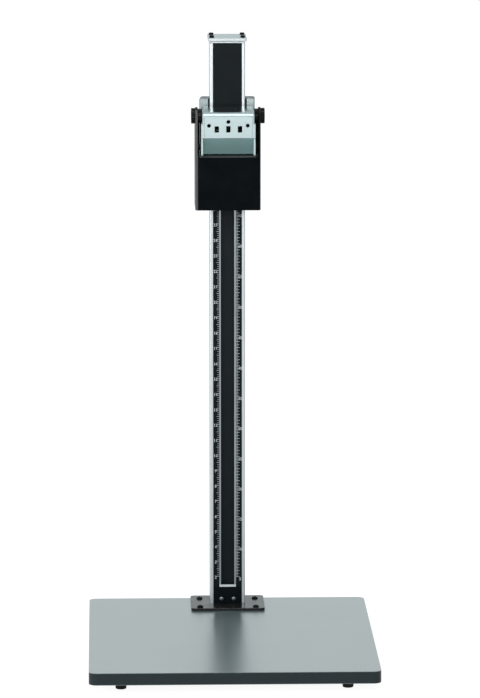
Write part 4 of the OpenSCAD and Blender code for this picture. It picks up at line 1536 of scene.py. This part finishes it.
@dataclass
class Housing:
    """The folded black cover with its floor, spacers and screws, and a dark strip of painted shade behind its
    front edge.

    Attributes:
        screw: a screw in the cover's side.
        screw_length: its length below the head.
        wall: how thick the cover's wall is.
        lightened: how far back from the front the cover takes painted highlights.
        seal: how thick the dark strip behind the front's edge is.
        seal_gap: from the dark strip to the camera head above it.
        seal_tall: the height of the dark strip.
        ledge_gap: from the front's top edge to the camera head above it.
    """

    screw: Screw = Screw(head=8 * MM, height=2.4 * MM, shank=4 * MM, key=2.5 * MM)
    screw_length: float = 14 * MM
    wall: float = 4 * MM
    rubbed: float = 5 * MM
    seal: float = 2 * MM
    seal_gap: float = 1 * MM
    seal_tall: float = 11 * MM
    ledge_gap: float = 4.5 * MM

    def build(self) -> None:
        """Builds the cover, the floor, the dark strip of painted shade and the side screws."""
        low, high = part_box("housing_cover")
        # The cover's front corners and top edge take painted highlights.
        finish = finer(
            RubbedCoat, BLACK_COAT, name="rubbed_black_coat", front=low.y + self.rubbed, half=high.x,
            ledge=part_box("head_cheeks")[0].z - self.ledge_gap)
        skin("housing_shell", Seat("carriage", "black_metal", "housing_cover"), 0.6 * MM, finish, 3)
        skin("housing_base", Seat("carriage", "black_metal", "housing_floor"), 0.4 * MM, BLACK_COAT)
        dress(PLASTIC, "cover_spacers")
        self.front_seal()
        self.side_screws()

    def side_screws(self) -> None:
        """The cover's button screws, two on each side."""
        low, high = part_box("cover_screws")
        r, height, y = self.screw.head / 2, self.screw.height, middle("cover_screws").y
        screw = self.screw.shell(self.screw_length)
        shells = [
            screw.placed(Vector((x, y, z)), side.value * RIGHTWARD, 0.4)
            for side, x in ((Side.LEFT, low.x + height), (Side.RIGHT, high.x - height))
            for z in (low.z + r, high.z - r)]
        seat = Seat("carriage", "black_metal", "cover_screws")
        lay("cover_button_screws", joined(shells), seat, BLACK_OXIDE)

    def front_seal(self) -> None:
        """The dark rubber strip behind the front's edge, painted shade for the gap under the head: a section
        with a half-round top, carried across.
        """
        low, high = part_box("housing_cover")
        top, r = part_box("head_cheeks")[0].z - self.seal_gap, self.seal / 2
        y, foot, reach = low.y + self.wall + r, top - self.seal_tall, high.x - self.wall
        section = [(y - r, foot), (y + r, foot), *arc(y, top - r, r, 0, 180, 9)]
        rings = np.array([[(x, y, z) for y, z in section] for x in np.linspace(-reach, reach, 3)])
        # Painted shade: a dark strip where the gap under the head lies in shade.
        lay("front_edge_shade_strip", loft(rings), Seat("carriage", "rubber"), SHADE_STRIP_RUBBER)


@dataclass
class CameraHead:
    """The tilting head: its folded plate, its cheeks, and the friction spacers and nuts.

    Attributes:
        border_x: from the plate's middle to an upright border line.
        border_w: the width of a border line.
        border_top: the height of the upper border line above the tilt axis.
        border_foot: the depth of the uprights' feet below the tilt axis.
        border_proud: how far the border lines stand out.
        front: the depth of the plate's front, behind which its deck starts.
        lip: how tall the lip is, which takes the painted reflection.
    """

    border_x: float = 38.3 * MM
    border_w: float = 0.7 * MM
    border_top: float = 4.2 * MM
    border_foot: float = 29.5 * MM
    border_proud: float = 0.03 * MM
    front: float = 5 * MM
    lip: float = 28 * MM

    def build(self) -> None:
        """Builds the plate, the cheeks, the nuts and the spacers."""
        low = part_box("head_plate")[0]
        finish = finer(
            DeckPolished, HEAD_METAL, name="polished_deck", behind=low.y + self.front,
            above=middle("head_plate").z, lip=low.z + self.lip)
        skin("camera_plate", Seat("camera_head", "head_silver", "head_plate"), 0.5 * MM, finish, 3)
        self.border()
        skin("camera_cheeks", Seat("camera_head", "head_silver", "head_cheeks"), 0.6 * MM, HEAD_METAL, 3)
        dress(STEEL, "pivot_nuts")
        skin("friction_spacers", Seat("carriage", "black_plastic", "pivot_spacers"), 0.4 * MM, KNOB_PLASTIC)

    def border(self) -> None:
        """The fine line round the camera's seat: two uprights and one across, as thin boxes."""
        back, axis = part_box("head_plate")[0].y, middle("tilt_knob_left").z
        x, w, front = self.border_x, self.border_w, back - self.border_proud
        top, foot = axis + self.border_top, axis - self.border_foot
        lower = np.array([[-x - w / 2, front, foot], [x - w / 2, front, foot], [-x, front, top - w]])
        upper = np.array([[-x + w / 2, back, top], [x + w / 2, back, top], [x, back, top]])
        lay("camera_seat_line", boxes(lower, upper), Seat("camera_head", "head_silver"), HEAD_LINE)


@dataclass(frozen=True)
class Grip:
    """The rim of a fluted knob.

    Attributes:
        across: the knob's diameter.
        flutes: how many flutes it has.
        deep: how deep they are where the knob is widest.
        kept: the share of that depth that stays all round the rims.
        narrow: how narrow a flute is, as a power.
        rounding: the radius of the two rims.
        turns: the angles of a rim's rings in degrees, from the widest out.
        sides: how many points a ring has.
    """

    across: float
    flutes: int
    deep: float
    kept: float
    narrow: float
    rounding: float
    turns: tuple[float, ...]
    sides: int

    @property
    def radius(self) -> float:
        """The knob's radius, kept just inside its node."""
        return self.across / 2 - 0.02 * MM

    def rims(self, thick: float) -> list[tuple[float, float, float]]:
        """Both rims as rings on quarter circles, whose flutes ease off with the circle's cosine.

        Args:
            thick: the knob's height.

        Returns:
            Radius, height and flute depth of each ring.
        """
        q, t = self.rounding, np.radians(self.turns)
        both = np.concatenate([-t[::-1], t])
        level = np.repeat([q, thick - q], len(t))
        depth = self.deep * (self.kept + (1 - self.kept) * np.cos(both))
        return list(zip(self.radius - q + q * np.cos(both), level + q * np.sin(both), depth))

    def shell(self, profile: list[tuple[float, float, float]]) -> Shell:
        """A turned profile whose radius dips at each flute.

        At height h the radius is r - d ((1 + cos(n a)) / 2) ^ p, where n is the number of
        flutes, d the depth there and p how narrow a flute is.

        Args:
            profile: radius, height and flute depth of each ring.

        Returns:
            The knob, along +Z.
        """
        r, h, d = np.array(profile, float).T[:, :, None]
        a = np.linspace(0, 2 * np.pi, self.sides, endpoint=False)[None, :]
        radius = r - d * ((1 + np.cos(self.flutes * a)) / 2) ** self.narrow
        return loft(np.stack([radius * np.cos(a), radius * np.sin(a), h + 0 * a], -1))


TILT_GRIP = Grip(
    across=25 * MM, flutes=20, deep=0.75 * MM, kept=0.0, narrow=1.6, rounding=1.0 * MM,
    turns=(0, 15, 35, 55, 75), sides=160)
LOCK_GRIP = Grip(
    across=36 * MM, flutes=8, deep=3.2 * MM, kept=0.4, narrow=0.9, rounding=2.2 * MM,
    turns=(0, 20, 40, 60, 80), sides=192)


@dataclass
class Knobs:
    """The two tilt knobs and the height lock's knob, boss and shoe.

    Attributes:
        tilt: a tilt knob's rim.
        lock: the lock knob's rim, whose wide flutes leave eight lobes.
        shoulder: how far a tilt knob's flat faces stay inside its rim.
        sharp: the angle in degrees above which a knob's edge stays sharp.
    """

    tilt: Grip = TILT_GRIP
    lock: Grip = LOCK_GRIP
    shoulder: float = 1.4 * MM
    sharp: float = 50.0

    def build(self) -> None:
        """Builds the knobs and dresses what they turn."""
        for side, name in ((Side.LEFT, "left"), (Side.RIGHT, "right")):
            self.tilt_knob(side, name)
            dress(STEEL, "tilt_stud_" + name)
        self.lock_knob()
        skin("lock_boss_ring", Seat("carriage", "anodised", "lock_boss"), 0.6 * MM, ANODISED_PLAIN)
        dress(STEEL, "lock_stud", "brake_shoe")
        dress(RUBBER, "brake_pad")

    def tilt_knob(self, side: Side, name: str) -> None:
        """One tilt knob, with a rounded fluted rim and a dished face.

        Args:
            side: which side it is on.
            name: the end of its node's name.
        """
        node = "tilt_knob_" + name
        low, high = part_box(node)
        r, thick = self.tilt.radius, high.x - low.x
        knob = self.tilt.shell([
            (0.3 * r, 0.0, 0.0), (r - self.shoulder, 0.0, 0.0), *self.tilt.rims(thick),
            (r - self.shoulder, thick, 0.0), (0.68 * r, thick, 0.0), (0.62 * r, thick - 0.3 * MM, 0.0),
            (0.58 * r, thick - 1.0 * MM, 0.0), (0.3 * r, thick - 1.1 * MM, 0.0)])
        inner = middle(node)
        inner.x = high.x if side is Side.LEFT else low.x
        seat = Seat("tilt_lock_" + name, "black_plastic", node)
        lay("fluted_knob_" + name, knob.placed(inner, side.value * RIGHTWARD), seat, KNOB_PLASTIC, self.sharp)

    def lock_knob(self) -> None:
        """The lock knob: eight soft lobes, rounded rims and a dished face with a ring."""
        low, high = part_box("lock_knob")
        r, thick, deep = self.lock.radius, high.y - low.y, self.lock.deep
        knob = self.lock.shell([
            (0.3 * r, 0.0, 0.0), (0.7 * r, 0.0, 0.2 * deep), *self.lock.rims(thick),
            (0.72 * r, thick, 0.1 * deep), (0.6 * r, thick - 0.1 * MM, 0.0),
            (0.55 * r, thick - 1.1 * MM, 0.0), (0.3 * r, thick - 1.3 * MM, 0.0),
            (0.26 * r, thick - 0.8 * MM, 0.0), (0.1 * r, thick - 0.7 * MM, 0.0)])
        inner = middle("lock_knob")
        inner.y = low.y
        seat = Seat("height_lock", "black_plastic", "lock_knob")
        lay("lobed_lock_knob", knob.placed(inner, BACKWARD), seat, KNOB_PLASTIC, self.sharp)


# Studio


def aim_at(made: bpy.types.Object, place: Vector, way: Vector) -> None:
    """Places a lamp or a camera and points it, with no roll.

    Args:
        made: the lamp or the camera.
        place: where it goes.
        way: the direction that it faces.
    """
    made.location = place
    made.rotation_mode = "QUATERNION"
    made.rotation_quaternion = way.to_track_quat("-Z", "Y")


@dataclass(frozen=True)
class Lamp:
    """A soft rectangular lamp.

    Attributes:
        name: its name.
        place: where it stands.
        aim: the point that it faces.
        width: its width.
        height: its height.
        power: its power in watts.
    """

    name: str
    place: tuple[float, float, float]
    aim: tuple[float, float, float]
    width: float
    height: float
    power: float

    def build(self) -> None:
        """Builds the lamp."""
        light = bpy.data.lights.new(self.name, "AREA")
        light.shape, light.energy = "RECTANGLE", self.power
        light.size, light.size_y = self.width, self.height
        aim_at(in_scene(self.name, light), Vector(self.place), Vector(self.aim) - Vector(self.place))


LAMPS = (
    Lamp("key_softbox", (-0.6, -1.5, 2.1), (0, 0.2, 0.6), 1.3, 0.9, 26.0),
    Lamp("front_glow", (-0.1, -2.3, 1.05), (0, 0.2, 0.9), 1.2, 0.3, 4.5),
    Lamp("knob_glow", (-0.1, -2.3, 1.5), (0, 0.15, 0.85), 1.2, 0.1, 12.0),
    Lamp("left_panel", (-1.65, -1.0, 0.66), (0, 0.1, 0.66), 0.9, 1.0, 10.0),
)


@dataclass
class Studio:
    """The camera, the white sweep and the soft lights.

    Attributes:
        focal: the lens's length in millimetres, on a film whose long side is 36 mm.
        distance: from the camera to the point it looks at.
        yaw: the camera's swing to the left of the front, in degrees.
        pitch: how far it looks down, in degrees.
        aim: the point that it looks at, from the column's front on the board.
        ambient: the even light of the room on matt surfaces.
        ahead: how bright the room behind the camera shows in gloss.
        tint: the room's colour in gloss.
        left: how bright the room's left wall shows in gloss.
        right: how bright the room's dark right corner shows in gloss.
        ground: how bright the floor shows in gloss.
        floor_glow: how bright the floor is to the camera.
        floor_grey: the floor's own grey, which keeps the shadow.
    """

    focal: float = 236.1
    distance: float = 7.4234
    yaw: float = -1.70
    pitch: float = 10.24
    aim: tuple[float, float, float] = (0.02018, 0.0, 0.42837)
    ambient: float = 0.42
    ahead: float = 0.72
    tint: tuple[float, float, float] = (0.92, 1.0, 1.01)
    left: float = 1.15
    right: float = 0.7
    ground: float = 0.72
    floor_glow: float = 0.92
    floor_grey: float = 0.28

    def build(self) -> None:
        """Sets up the camera, the world, the floor and the lamps."""
        bpy.context.scene.view_settings.view_transform = "Standard"
        self.camera()
        self.world()
        self.floor()
        for lamp in LAMPS:
            lamp.build()

    def camera(self) -> None:
        """The camera: back along the view from its aim by its distance, with no roll and no shift."""
        yaw, pitch = math.radians(self.yaw), math.radians(self.pitch)
        back = Vector((math.sin(yaw) * math.cos(pitch), -math.cos(yaw) * math.cos(pitch), math.sin(pitch)))
        base = Vector((0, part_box("column")[0].y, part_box("top_laminate")[1].z))
        lens = bpy.data.cameras.new("photo_camera")
        lens.lens, lens.sensor_width, lens.clip_end = self.focal, 36.0, 100.0
        made = in_scene("photo_camera", lens)
        aim_at(made, base + Vector(self.aim) + back * self.distance, -back)
        bpy.context.scene.camera = made

    def world(self) -> None:
        """White to the camera, a room with bright and dark walls in gloss, even light on the rest.

        Each pair says where a wall fades in or out, on the X or the Y of a ray's direction.
        """
        back, left, right, near = (-0.35, 0.25), (-0.9, -0.6), (0.5, 0.9), (-0.2, 0.5)
        world = bpy.data.worlds.new("white_room")
        world.use_nodes = True
        bpy.context.scene.world = world
        graph = Graph(world.node_tree)
        seen, mirrored = self.rays(graph)
        x, y, _ = graph.axes(graph.add("ShaderNodeTexCoord").outputs["Generated"])
        back_wall, left_wall = graph.ramp(y, self.ahead, 1.0, *back), graph.ramp(x, self.left, 0.0, *left)
        walls = graph.maths("MAXIMUM", back_wall, left_wall)
        corner = graph.times(graph.ramp(x, 0.0, 1.0 - self.right, *right), graph.ramp(y, 1.0, 0.0, *near))
        gloss = graph.times(walls, graph.maths("SUBTRACT", 1.0, corner))
        more = graph.times(mirrored, graph.maths("SUBTRACT", gloss, self.ambient))
        level = graph.maths("ADD", self.ambient, more)
        white = graph.times(seen, graph.maths("SUBTRACT", 1.0, level))
        tint = graph.blend(mirrored, (1, 1, 1, 1), (*self.tint, 1))
        sky = graph.add("ShaderNodeBackground", {"Color": tint, "Strength": graph.maths("ADD", level, white)})
        graph.add("ShaderNodeOutputWorld", {"Surface": sky.outputs[0]})

    def floor(self) -> None:
        """A pale floor that shows white to the camera and keeps a soft shadow."""
        radius, top, under = 9.0, -0.2 * MM, -0.4 * MM
        made = bpy.data.materials.new("pale_floor")
        made.use_nodes = True
        graph = Graph(made.node_tree)
        seen, mirrored = self.rays(graph)
        matt = graph.add("ShaderNodeBsdfDiffuse", {"Color": (*[self.floor_grey] * 3, 1)})
        to_camera, in_gloss = graph.times(seen, self.floor_glow), graph.times(mirrored, self.ground)
        glow = graph.add("ShaderNodeEmission", {"Strength": graph.maths("MAXIMUM", to_camera, in_gloss)})
        both = graph.add("ShaderNodeAddShader", {0: matt.outputs[0], 1: glow.outputs[0]})
        graph.add("ShaderNodeOutputMaterial", {"Surface": both.outputs[0]})
        ground = mesh_object("studio_floor", loft(turned_rings([(radius, under), (radius, top)], 96)))
        ground.data.materials.append(made)

    @staticmethod
    def rays(graph: Graph) -> tuple[Socket, Socket]:
        """Tells rays apart.

        Args:
            graph: the graph that asks.

        Returns:
            1 for a ray from the camera or through glass, and 1 for a ray from a gloss.
        """
        path = graph.add("ShaderNodeLightPath").outputs
        seen = graph.maths("MAXIMUM", path["Is Camera Ray"], path["Is Transmission Ray"])
        return seen, path["Is Glossy Ray"]


def main() -> None:
    """Builds the studio, then the stand's sub-assemblies in order."""
    logging.basicConfig(level=logging.INFO, format="%(name)s: %(message)s")
    Studio().build()
    for assembly in (Baseboard(), FootFlange(), Column(), Scales(), Counterbalance(), Carriage(),
                     Housing(), CameraHead(), Knobs()):
        assembly.build()


if __name__ == "__main__":
    main()
